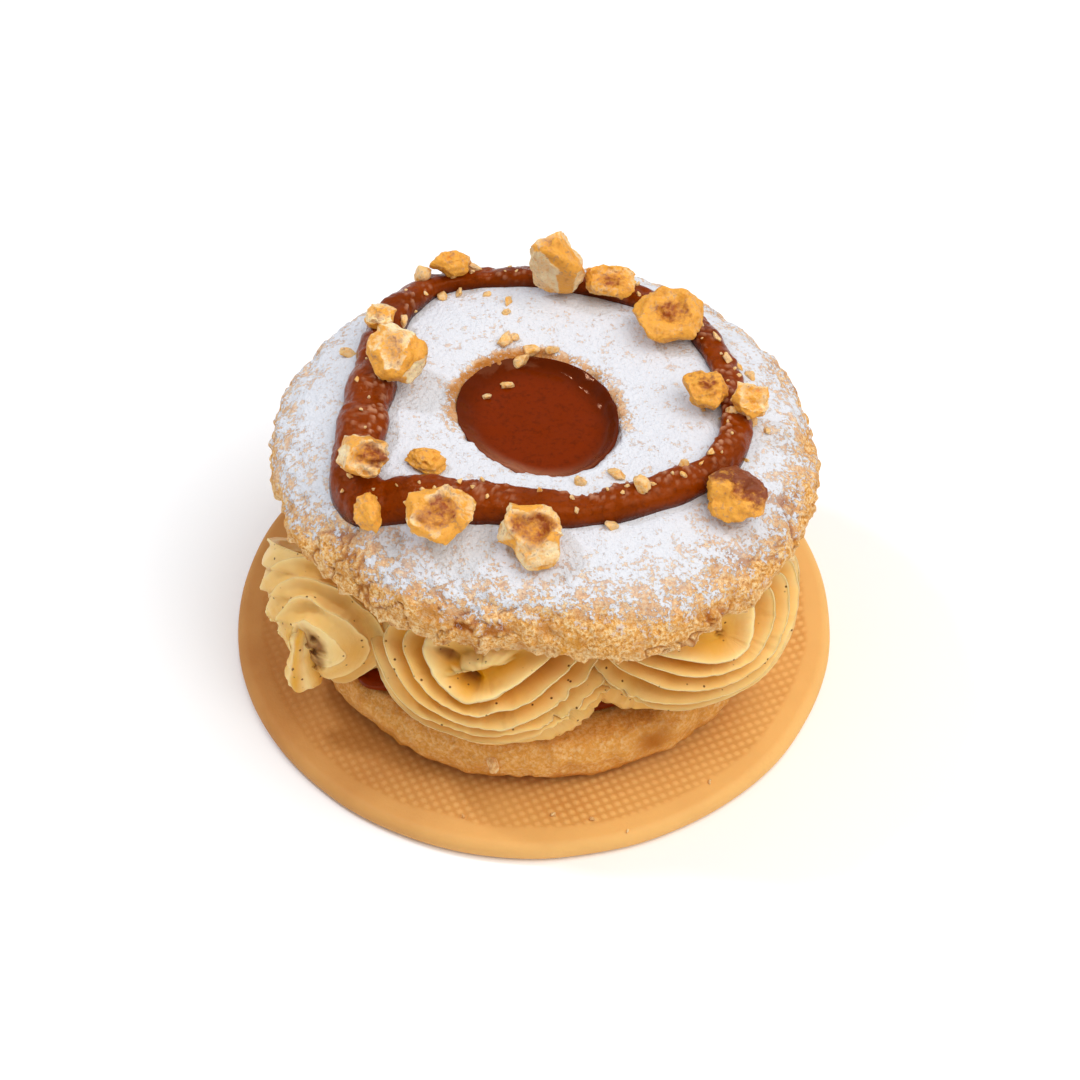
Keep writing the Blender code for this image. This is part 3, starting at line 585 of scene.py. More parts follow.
def grid_object(name, points, material, marks, ring=False):
    """A closed mesh of a grid whose columns wrap. The rows of a ring wrap too, and any
    other grid closes on a point at each end. Marks are numbers kept for the material."""
    rows, columns = points.shape[:2]
    index = np.arange(rows * columns).reshape(rows, columns)
    index = np.hstack([index, index[:, :1]])
    if ring:
        index = np.vstack([index, index[:1]])
    corners = [index[:-1, :-1], index[1:, :-1], index[1:, 1:], index[:-1, 1:]]
    faces = np.stack(corners, axis=-1).reshape(-1, 4).tolist()
    vertices = points.reshape(-1, 3)
    marks = {key: np.broadcast_to(value, (rows, columns)).reshape(-1) for key, value in marks.items()}
    if not ring:
        top = len(vertices)
        vertices = np.vstack([vertices, points[0].mean(axis=0), points[-1].mean(axis=0)])
        faces += [[top, a, b] for a, b in zip(index[0, :-1].tolist(), index[0, 1:].tolist())]
        faces += [[top + 1, b, a] for a, b in zip(index[-1, :-1].tolist(), index[-1, 1:].tolist())]
        marks = {key: np.append(value, [value[0], value[-1]]) for key, value in marks.items()}
    return mesh_object(name, vertices, faces, material, marks)


def add_object(name, data):
    """An object of the scene that holds a mesh, a light or a camera."""
    obj = bpy.data.objects.new(name, data)
    bpy.context.scene.collection.objects.link(obj)
    return obj


def mesh_object(name, vertices, faces, material, marks):
    """A smooth mesh in the scene, with its material and its marks."""
    mesh = bpy.data.meshes.new(name)
    mesh.from_pydata(vertices.tolist(), [], faces)
    mesh.shade_smooth()
    for key, value in marks.items():
        attribute = mesh.attributes.new(key, 'FLOAT', 'POINT')
        attribute.data.foreach_set("value", np.ascontiguousarray(value, dtype=np.float32))
    mesh.materials.append(material)
    return add_object(name, mesh)


def stand_for(obj, slot, *nodes):
    """Let a finished piece ride on the pastry and stand for its solids, which it hides. The slot is not
    used.
    """
    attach(obj, "root")
    if nodes:
        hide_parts(*nodes)


def surface_tree(*names):
    """A search tree over the faces of finished pieces, for finding what lies under a point."""
    vertices = []
    faces = []
    for mesh in (bpy.data.objects[name].data for name in names):
        start = len(vertices)
        vertices += [vertex.co.copy() for vertex in mesh.vertices]
        faces += [[start + i for i in face.vertices] for face in mesh.polygons]
    return BVHTree.FromPolygons(vertices, faces)


def ground_under(tree, x, y):
    """How high the highest face over or under a point lies, or None."""
    hit = tree.ray_cast(Vector((x, y, 2.0 * CROWN_Z)), Vector((0.0, 0.0, -1.0)))[0]
    return hit.z if hit else None


def add_node(tree, kind, inputs=None, output=0, **settings):
    """Add a node, set its own settings, link or set its inputs, and return one output."""
    node = tree.nodes.new("ShaderNode" + kind)
    for key, value in settings.items():
        setattr(node, key, value)
    for key, value in (inputs or {}).items():
        if isinstance(value, bpy.types.NodeSocket):
            tree.links.new(value, node.inputs[key])
        else:
            node.inputs[key].default_value = value
    return node.outputs[output] if node.outputs else node


def new_material(name):
    """An empty material and the function that adds a node to it."""
    material = bpy.data.materials.new(name)
    material.use_nodes = True
    material.node_tree.nodes.clear()
    return material, partial(add_node, material.node_tree)


def finished(material, add, finish, height=None, strength=1.0, depth=0.0):
    """End a material in its shader, with the fine relief that a height gives the light."""
    if height is not None:
        relief = add('Bump', {"Height": height, "Strength": strength, "Distance": depth})
        finish = {**finish, "Normal": relief}
    add('OutputMaterial', {"Surface": add('BsdfPrincipled', finish)})
    return material


def shortbread(settings):
    """Baked shortbread, rolled on a woven mat. Matt and golden, with paler tops on the
    printed dots and browner dough between them, partly the print's own colour and partly a
    painted highlight on the raised dots and painted shade in the hollows."""
    material, add = new_material("baked_shortbread_mesh_printed")
    place = add('TexCoord', output="Object")
    dots = add('Attribute', output="Fac", attribute_name="print")
    blotch = add('TexNoise', {"Vector": place, "Scale": 1.0 / BLOTCH, "Detail": 3.0})
    grain = add('TexNoise', {"Vector": place, "Scale": 1.0 / (0.5 * MM), "Detail": 3.0})
    # Painted highlight and shade: paler where the printed dots stand up, browner in the hollows between
    # them.
    low = add('MapRange', {"Value": dots, "From Min": 0.0, "From Max": -1.0})
    high = add('MapRange', {"Value": dots, "From Min": 0.1, "From Max": 1.0})
    # Painted shade with browner baking: the dough darkens from the lit right and front towards the left,
    # which the pastry shades.
    split = add('SeparateXYZ', {"Vector": place}).node.outputs
    toward_lit_side = add('Math', {0: split["Y"], 1: -0.25, 2: split["X"]}, operation='MULTIPLY_ADD')
    browned = add('MapRange', {"Value": toward_lit_side, "From Min": LIT_PALE_SIDE, "From Max": SHADED_BROWN_SIDE,
                               "To Max": 0.72})
    browned = add('Math', {0: blotch, 1: 0.5, 2: browned}, operation='MULTIPLY_ADD')
    browned = add('Math', {0: browned, 1: 0.22}, operation='SUBTRACT', use_clamp=True)
    dough = settings.baked
    for share, shade in ((low, settings.hollow), (high, settings.dot), (browned, settings.browned)):
        dough = add('Mix', {FACTOR: share, FIRST: dough, SECOND: shade}, MIXED, data_type='RGBA')
    finish = {"Base Color": dough, "Roughness": 0.62, "Specular IOR Level": 0.25,
              "Subsurface Weight": 0.1, "Subsurface Radius": (1.0, 0.5, 0.2),
              "Subsurface Scale": 1.5 * MM}
    return finished(material, add, finish, grain, 0.6, 0.08 * MM)


def crust_layers(add, place, settings, sandiness):
    """The baked crust's colour, the height of its grains and its cracks. It is packed from
    grains of about half a millimetre, pale on top and browner between each other, with browner
    cracks and amber patches where the dough has melted. The pale tops and the browner gaps and
    cracks are partly painted light and shade."""
    crease, amber, crumbly = (add('Attribute', output="Fac", attribute_name=mark)
                              for mark in ("crease", "amber", "crumbly"))
    fine = add('TexNoise', {"Vector": place, "Scale": 1.0 / (0.45 * MM), "Detail": 2.0,
                            "Roughness": 0.7})
    wander = add('VectorMath', {0: fine.node.outputs["Color"], 1: (0.7 * MM,) * 3, 2: place},
                 operation='MULTIPLY_ADD')
    grains = add('TexVoronoi', {"Vector": wander, "Scale": 1.0 / (0.65 * MM)})
    tone = add('TexNoise', {"Vector": place, "Scale": 1.0 / (2.6 * MM), "Detail": 4.0,
                            "Roughness": 0.65})
    own = add('SeparateColor', {"Color": grains.node.outputs["Color"]})
    top = add('MapRange', {"Value": grains, "From Min": 0.62, "From Max": 0.3})
    top = add('Math', {0: top, 1: own}, operation='MULTIPLY')
    sandy = add('MapRange', {"Value": fine, "From Min": 0.5, "From Max": 0.6,
                             "To Max": 0.85 * sandiness})
    top = add('Math', {0: top, 1: 0.5, 2: sandy}, operation='MULTIPLY_ADD')
    top = add('Math', {0: crumbly, 1: 0.6, 2: top}, operation='MULTIPLY_ADD', use_clamp=True)
    deep = crease
    for value, shallow, full, most in ((grains, 0.6, 0.95, 0.4), (tone, 0.48, 0.72, 0.5),
                                       (fine, 0.46, 0.36, 0.6 * sandiness)):
        share = add('MapRange', {"Value": value, "From Min": shallow, "From Max": full, "To Max": most})
        deep = add('Math', {0: deep, 1: share}, operation='MAXIMUM')
    crust = settings.crust
    for share, shade in ((top, settings.pale), (deep, settings.brown), (amber, settings.amber)):
        crust = add('Mix', {FACTOR: share, FIRST: crust, SECOND: shade}, MIXED, data_type='RGBA')
    height = add('Math', {0: grains, 1: -0.25, 2: fine}, operation='MULTIPLY_ADD')
    return crust, height, crease


def choux_crust(settings):
    """Choux baked under a thin sugar dough. Matt, crumbly and golden, with cracks that
    bake darker than the crumbs between them and are painted darker still, as shade."""
    material, add = new_material("baked_choux_crumble_crust")
    place = add('TexCoord', output="Object")
    crust, height, _ = crust_layers(add, place, settings, 0.55)
    finish = {"Base Color": crust, "Roughness": 0.72, "Specular IOR Level": 0.2,
              "Subsurface Weight": 0.1, "Subsurface Radius": (1.0, 0.5, 0.2),
              "Subsurface Scale": 0.8 * MM}
    return finished(material, add, finish, height, 0.8, 0.2 * MM)


def sugared_crust(settings):
    """Baked choux crust under sifted icing sugar. The sugar is a matt cool white powder that
    lies thick on the crown and breaks into fine specks where it thins, and it hides less in
    the cracks. Its grains are too fine to show, so the specks are drawn as clumps of them."""
    material, add = new_material("choux_crust_icing_sugar_dusted")
    place = add('TexCoord', output="Object")
    crust, grains, crease = crust_layers(add, place, settings, 1.0)
    cover = add('Attribute', output="Fac", attribute_name="sugar")
    clumps = add('TexNoise', {"Vector": place, "Scale": 1.0 / (1.9 * MM), "Detail": 3.0,
                              "Roughness": 0.65})
    powder = add('TexNoise', {"Vector": place, "Scale": 1.0 / (0.52 * MM), "Detail": 3.0,
                              "Roughness": 0.7})
    spare = -2.68
    for value, weight in ((cover, 0.84), (clumps, 2.1), (powder, 2.5), (crease, -0.14)):
        spare = add('Math', {0: value, 1: weight, 2: spare}, operation='MULTIPLY_ADD')
    thick = add('MapRange', {"Value": cover, "From Min": 0.04, "From Max": 0.34, "To Max": 0.97})
    lies = add('MapRange', {"Value": spare, "From Min": -0.08, "From Max": 0.14})
    lies = add('Math', {0: lies, 1: thick}, operation='MULTIPLY')
    dust = add('MapRange', {"Value": cover, "From Min": 0.2, "From Max": 0.9, "To Max": 0.55})
    lies = add('Math', {0: lies, 1: dust}, operation='MAXIMUM')
    dusted = add('Mix', {FACTOR: lies, FIRST: crust, SECOND: settings.sugar}, MIXED, data_type='RGBA')
    height = add('Math', {0: lies, 1: 0.35, 2: grains}, operation='MULTIPLY_ADD')
    finish = {"Base Color": dusted, "Roughness": 0.85, "Specular IOR Level": 0.15,
              "Subsurface Weight": 0.05, "Subsurface Radius": (1.0, 0.8, 0.7),
              "Subsurface Scale": 0.5 * MM}
    return finished(material, add, finish, height, 1.0, 0.3 * MM)


def nut_cream(settings):
    """Whipped butter cream with ground hazelnut, piped through a star nozzle. Satin and
    slightly translucent, pale on the ridges, with dark specks. Deeper yellow is painted into
    the grooves as shade and bounced light, and browner shade into the torn pits."""
    material, add = new_material("hazelnut_buttercream_piped")
    place = add('TexCoord', output="Object")
    groove_shade, across, along, torn = (add('Attribute', output="Fac", attribute_name=mark)
                                   for mark in ("groove_shade", "across", "along", "torn"))
    tone = add('TexNoise', {"Vector": place, "Scale": 1.0 / (5.0 * MM), "Detail": 2.0})
    # Painted shade: the deeper a groove, the more of the deeper yellow, with a little random unevenness.
    deep = add('MapRange', {"Value": tone, "From Min": 0.3, "From Max": 0.7, "To Min": -0.12,
                            "To Max": 0.14})
    deep = add('Math', {0: groove_shade, 1: deep}, operation='ADD', use_clamp=True)
    deep = add('Math', {0: deep, 1: 0.8}, operation='POWER')
    # Painted shade in the torn pit and in the pits of the eyes.
    torn = add('MapRange', {"Value": torn, "From Min": 0.15, "From Max": 0.9, "To Max": 0.85})
    dots = add('TexVoronoi', {"Vector": place, "Scale": 1.0 / (1.2 * MM)})
    specks = add('MapRange', {"Value": dots, "From Min": 0.19, "From Max": 0.1})
    rare = add('SeparateColor', {"Color": dots.node.outputs["Color"]})
    rare = add('Math', {0: rare, 1: 0.66}, operation='GREATER_THAN')
    specks = add('Math', {0: specks, 1: rare}, operation='MULTIPLY')
    cream = settings.crest
    for share, shade in ((deep, settings.groove_shade), (torn, settings.torn), (specks, settings.speck)):
        cream = add('Mix', {FACTOR: share, FIRST: cream, SECOND: shade}, MIXED, data_type='RGBA')
    flow = add('CombineXYZ', {0: across, 1: along})
    streaks = add('TexNoise', {"Vector": flow, "Scale": 1.0, "Detail": 2.0, "Roughness": 0.5})
    grain = add('TexNoise', {"Vector": place, "Scale": 1.0 / (0.7 * MM), "Detail": 3.0})
    height = add('Math', {0: grain, 1: 0.9, 2: streaks}, operation='MULTIPLY_ADD')
    finish = {"Base Color": cream, "Roughness": 0.42, "Specular IOR Level": 0.12,
              "Specular Tint": (1.0, 0.85, 0.6, 1.0), "Subsurface Weight": 0.25,
              "Subsurface Radius": (1.0, 0.6, 0.2), "Subsurface Scale": 1.2 * MM}
    return finished(material, add, finish, height, 0.5, 0.12 * MM)


def wet_praline(name, body, thin, settings, rough):
    """Caramel and ground hazelnut paste, poured or piped. Wet and glossy, deep red-brown,
    with dark specks of skin and grit that stands just proud."""
    material, add = new_material(name)
    place = add('TexCoord', output="Object")
    grit = add('TexNoise', {"Vector": place, "Scale": 1.0 / (1.6 * settings.grit), "Detail": 4.0,
                            "Roughness": 0.6})
    dark = add('MapRange', {"Value": grit, "From Min": 0.5, "From Max": 0.75, "To Max": 0.6})
    # The grit mark lays on the pale colour: real grit on the loop, and painted light through the pool's
    # thin edge. The shade mark paints shade in the speck colour.
    sunk, shaded = (add('Attribute', output="Fac", attribute_name=mark) for mark in ("grit", "shade"))
    paste = body
    for share, shade in ((dark, settings.dark), (sunk, thin), (shaded, settings.dark)):
        paste = add('Mix', {FACTOR: share, FIRST: paste, SECOND: shade}, MIXED, data_type='RGBA')
    finish = {"Base Color": paste, "Roughness": 0.13, "IOR": 1.45, "Specular IOR Level": 0.22,
              "Specular Tint": (1.0, 0.5, 0.25, 1.0), "Subsurface Weight": 0.08,
              "Subsurface Radius": (1.0, 0.35, 0.1), "Subsurface Scale": 1.2 * MM}
    return finished(material, add, finish, grit, rough, 0.2 * MM)


def roasted_hazelnut(settings):
    """Hazelnuts roasted, then broken. Waxy golden flesh with pale broken faces, a toasted
    heart and scraps of brown skin."""
    material, add = new_material("hazelnut_roasted_broken")
    place = add('TexCoord', output="Object")
    patterns = ((1.6, 4.0, 0.6), (0.6, 2.0, 0.6), (0.7, 2.0, 0.5), (0.4, 3.0, 0.5))
    mottle, crumble, freckles, grain = (
        add('TexNoise', {"Vector": place, "Scale": 1.0 / (size * MM), "Detail": detail,
                         "Roughness": roughness})
        for size, detail, roughness in patterns)
    share = add('MapRange', {"Value": freckles, "From Min": 0.5, "From Max": 0.8, "To Max": 0.45})
    flesh = add('Mix', {FACTOR: share, FIRST: settings.golden, SECOND: settings.toasted}, MIXED,
                data_type='RGBA')
    for mark, shade in (("pale", settings.pale), ("toast", settings.toasted), ("skin", settings.skin)):
        share = add('Attribute', output="Fac", attribute_name=mark)
        for value, weight in ((mottle, 0.9), (crumble, 1.3)):
            share = add('Math', {0: value, 1: weight, 2: share}, operation='MULTIPLY_ADD')
        share = add('MapRange', {"Value": share, "From Min": 1.24, "From Max": 1.95})
        flesh = add('Mix', {FACTOR: share, FIRST: flesh, SECOND: shade}, MIXED, data_type='RGBA')
    finish = {"Base Color": flesh, "Roughness": 0.42, "Specular IOR Level": 0.3,
              "Subsurface Weight": 0.15, "Subsurface Radius": (1.0, 0.55, 0.2),
              "Subsurface Scale": 1.2 * MM}
    return finished(material, add, finish, grain, 0.9, 0.2 * MM)


def plain_floor(shade):
    """A matt white board, which bounces light back up under the pastry."""
    material, add = new_material("white_board")
    return finished(material, add, {"Base Color": shade, "Roughness": 0.9})


def make_biscuit(settings):
    """The biscuit: flat above and below, with a rounded rim and the print of a woven mat."""
    top = BISCUIT_T
    inner = BISCUIT_R - BISCUIT_TOP_EDGE
    foot = BISCUIT_R - BISCUIT_LOW_EDGE
    flat = [(radius, top) for radius in np.linspace(4.0 * MM, PRINT_IN_R - 1.0 * MM, 5)]
    flat += [(radius, top) for radius in np.arange(PRINT_IN_R, inner - 0.2 * MM, PRINT_RING)]
    edge = arc((inner, top - BISCUIT_TOP_EDGE), (BISCUIT_TOP_EDGE,) * 2, 90.0, 4.0, 9)
    low = arc((foot, BISCUIT_LOW_EDGE), (BISCUIT_LOW_EDGE,) * 2, 0.0, -90.0, 7)
    under = line((foot, 0.0), (2.0 * MM, 0.0), 12)
    points = turned(np.vstack([flat, edge, low, under]), COLUMNS["biscuit"])
    radius, theta = polar(points)
    ways = on_turned_axes(points[..., 0], points[..., 1], PRINT_TURN)
    first, second = (1.0 + np.cos(math.tau * (way / settings.print_pitch)) for way in ways)
    weave = 0.5 * first * second - 1.0
    edge_r = BISCUIT_R - settings.print_margin + 0.5 * MM * lumps(points, 6.0 * MM, 2)
    printed = ease(edge_r - radius, 0.0, PRINT_FADE) * ease(points[..., 2], top - 0.2 * MM, top)
    printed = printed * (0.75 + 0.35 * lumps(points, 5.0 * MM, 3))
    sunk = settings.print_depth * (0.5 - 0.5 * weave) * printed
    sag = BISCUIT_SAG + BISCUIT_SAG * lumps(points, 7.0 * MM, 4)
    sunk = sunk + sag * ease(points[..., 2], 0.0, top)
    wave = BISCUIT_WAVE + BISCUIT_WAVE * lumps(points, 9.0 * MM, 5)
    radius = radius - wave * ease(radius, BISCUIT_WAVE_R, BISCUIT_R)
    points = from_polar(radius, theta, points[..., 2] - sunk)
    biscuit = grid_object("shortbread_base", points, shortbread(settings), {"print": weave * printed})
    stand_for(biscuit, "sable", "sable_base")


def crust_relief(points, normals, strength, settings, seed):
    """Roughen a crust with lumps, fine grains and a few crooked cracks. Returns the points
    and how dark each one is made, from 0 to 1: deep in a crack, and low between the lumps,
    which is partly the cracks' browner crust and partly painted shade."""
    crumb, grain = settings.crumb, settings.grain
    lump = lumps(points, crumb, seed)
    bent = points + 0.4 * crumb * drift(points, 0.7 * crumb, seed + 15)
    wander = lumps(bent, 1.3 * crumb, seed + 1) + 0.45 * lumps(bent, 0.5 * crumb, seed + 2)
    crack = 1.0 - ease(np.abs(wander), 0.0, 0.16)
    crack = crack * ease(lumps(points, 2.6 * crumb, seed + 3), -0.35, 0.25)
    shaken = points + 0.3 * grain * drift(points, 0.8 * grain, seed + 6)
    nearest, own = crumbs(shaken, grain, seed + 9)
    grains = ease(0.8 - nearest, 0.0, 0.8) * ease(own, 0.55, 1.0)
    rise = LUMP_RISE * lump - settings.crease * crack + GRAIN_RISE * grains
    rise = rise + SAND_RISE * lumps(bent, 0.8 * grain, seed + 12)
    rise = rise + GRIT_RISE * lumps(points, 0.5 * grain, seed + 5)
    # Painted shade: the low spots between the lumps are darkened along with the cracks.
    deep = np.clip(0.9 * crack + 0.5 * ease(-lump, 0.1, 0.8) * (1.0 - grains), 0.0, 1.0)
    return points + normals * (strength * rise)[..., None], deep * np.minimum(1.0, strength)


def make_lower_choux(settings):
    """The sliced lower half: flat where the praline lies, round at the side and drawn in at
    the foot, which is browner."""
    belly = LOWER_Z + LOWER_BELLY * (LOWER_TOP_Z - LOWER_Z)
    inner = LOWER_R - LOWER_SHOULDER
    top = line((4.0 * MM, LOWER_TOP_Z), (inner, LOWER_TOP_Z), 8)
    side = arc((inner, belly), (LOWER_SHOULDER, LOWER_TOP_Z - belly), 90.0, 0.0, 16)
    foot = arc((LOWER_FOOT_R, belly), (LOWER_R - LOWER_FOOT_R, belly - LOWER_Z), -6.0, -90.0, 20)
    under = line((LOWER_FOOT_R, LOWER_Z), (2.0 * MM, LOWER_Z), 5)
    points = turned(np.vstack([top, side, foot, under]), COLUMNS["lower"])
    radius, theta = polar(points)
    shown = ease(radius, 0.8 * LOWER_R, 0.86 * LOWER_R)
    points = points + grid_normals(points) * (shown * LOWER_CRAG * crags(points))[..., None]
    points, deep = crust_relief(points, grid_normals(points), 0.4 * shown, settings, 41)
    radius = np.minimum(polar(points)[0], LOWER_MAX_R)
    height = np.clip(points[..., 2], LOWER_Z, LOWER_TOP_Z)
    points = from_polar(radius, theta, height)
    points[..., :2] += LOWER_AXIS
    browned = ease(LOWER_Z + 3.2 * MM + 1.2 * MM * lumps(points, 5.0 * MM, 42) - height, 0.0, 2.4 * MM)
    soaked = swell(theta, *LOWER_STAIN) * ease(height, 6.0 * MM, 8.0 * MM)
    soaked = soaked * ease(height, 11.2 * MM, 9.4 * MM)
    marks = {"crease": np.maximum(deep, np.maximum(0.7 * browned, soaked)),
             "amber": 0.25 + 0.3 * browned, "crumbly": 0.0}
    lower = grid_object("choux_lower_half", points, choux_crust(settings), marks)
    stand_for(lower, "choux", "choux_bottom")


def make_praline_layer(settings):
    """The thin disc of praline on the lower choux, with the bead that oozes out of it."""
    middle = 0.5 * (LAYER_LOW + LAYER_HIGH)
    half = 0.5 * (LAYER_HIGH - LAYER_LOW)
    top = [(radius, LAYER_HIGH) for radius in (8.0 * MM, 20.0 * MM)]
    edge = arc((LAYER_R - half, middle), (half, half), 90.0, -90.0, 15)
    under = [(radius, LAYER_LOW) for radius in (20.0 * MM, 8.0 * MM)]
    points = turned(np.vstack([top, edge, under]), COLUMNS["layer"])
    radius, theta = polar(points)
    reach = OOZE_OUT * swell(theta, OOZE_ANGLE, OOZE_SPREAD) + 0.3 * MM * lumps(points, 3.0 * MM, 51)
    radius = radius + reach * ease(radius, 0.7 * LAYER_R, LAYER_R)
    points = from_polar(radius, theta, points[..., 2])
    points[..., :2] += LOWER_AXIS
    material = wet_praline("praline_layer_set", settings.pool, settings.ribbon, settings, 0.25)
    layer = grid_object("praline_layer_filling", points, material, {"grit": 0.0, "shade": 0.0})
    stand_for(layer, "praline", "praline_layer")


def cream_floor(radius):
    """How low the cream may reach at a distance from the axis: layer, choux or free."""
    floor = np.where(radius < LAYER_R + 1.0 * MM, LAYER_HIGH, LOWER_TOP_Z + 0.1 * MM)
    return np.where(radius > LOWER_MAX_R + 0.2 * MM, CREAM_LOW_Z, floor)


def ridge_rings(rosette, around):
    """How far each ridge of a rosette lies from its eye, in every direction round it."""
    count = len(rosette.arms[0].reach)
    rings = [np.full(len(around), 0.1 * MM)]
    for ridge in range(count):
        nearness = (1.0 / (13.0 + 2.0 * ridge)) ** RIDGE_CORNER
        for arm in rosette.arms:
            angle = math.radians(arm.inner + (arm.outer - arm.inner) * ridge / (count - 1.0))
            facing = np.maximum(np.cos(around - angle), 0.0)
            nearness = nearness + (facing / arm.reach[ridge]) ** RIDGE_CORNER
        level = np.full(len(around), 1.7 * ridge)
        spot = np.stack([2.4 * np.cos(around), 2.4 * np.sin(around), level], axis=-1)
        wander = 0.07 * lumps(spot, 1.0, rosette.seed) + 0.02 * lumps(spot, 0.3, rosette.seed + 50)
        reach = nearness ** (-1.0 / RIDGE_CORNER) * MM * (1.0 + wander)
        rings.append(np.maximum(reach, rings[-1] + 0.55 * MM))
    return np.array(rings)


def ridge_rows(rings, smooth_face):
    """The rows of points across a rosette's ridges: how far each lies from the eye, how wide
    its ridge is, how far its lip leans out, how deep it lies, and its ridge's number."""
    section = np.array(RIDGE_SECTION)
    share = section[:, :1]
    reach = np.vstack([low + (high - low) * share for low, high in zip(rings[:-1], rings[1:])])
    gap = np.repeat(np.diff(rings, axis=0), len(section), axis=0)
    lean, deep = (np.tile(section[:, i:i + 1], (len(rings) - 1, 1)) for i in (1, 2))
    number = np.repeat(np.arange(len(rings) - 1), len(section))[:, None] + 0.5
    heart = slice(len(section))
    gap[heart] = gap[heart].min()
    lean[heart] = np.where(share < 1.0, 0.0, section[:, 1:2])
    hollow = np.where(share < 1.0, 1.0 - ease(share, 0.3, 1.0), section[:, 2:])
    deep[heart] = 0.25 * deep[heart] if smooth_face else hollow
    return reach, gap, lean, deep, number


def over_back(values, last, columns):
    """Values on the rows across a rosette's ridges, and then those on the rows of its back."""
    ridged = np.broadcast_to(values, (len(values), columns))
    return np.vstack([ridged, np.broadcast_to(last, (ROSETTE_BACK_ROWS, columns))])


def round_spots(level, around, spread):
    """Places for noise that closes on itself all round, at each level across the ridges."""
    return np.stack(np.broadcast_arrays(level, spread * np.cos(around), spread * np.sin(around)), axis=-1)


def tongue_rise(tongues, across, along):
    """How far the curls in a rosette's eye rise, and its pits fall, at each point of its face."""
    rise = np.zeros_like(across)
    for tongue in tongues:
        x, y = across - tongue.x * MM, along - tongue.y * MM
        forth, aside = on_turned_axes(x, y, math.radians(tongue.turn))
        forth = forth / (tongue.along * MM)
        aside = aside / (tongue.across * MM) + 0.5 * (forth ** 2 - 0.4)
        dome = np.clip(1.0 - forth ** 2 - aside ** 2, 0.0, 1.0)
        rise = rise + tongue.rise * MM * dome ** (0.5 if tongue.rise > 0.0 else 1.5)
    return rise


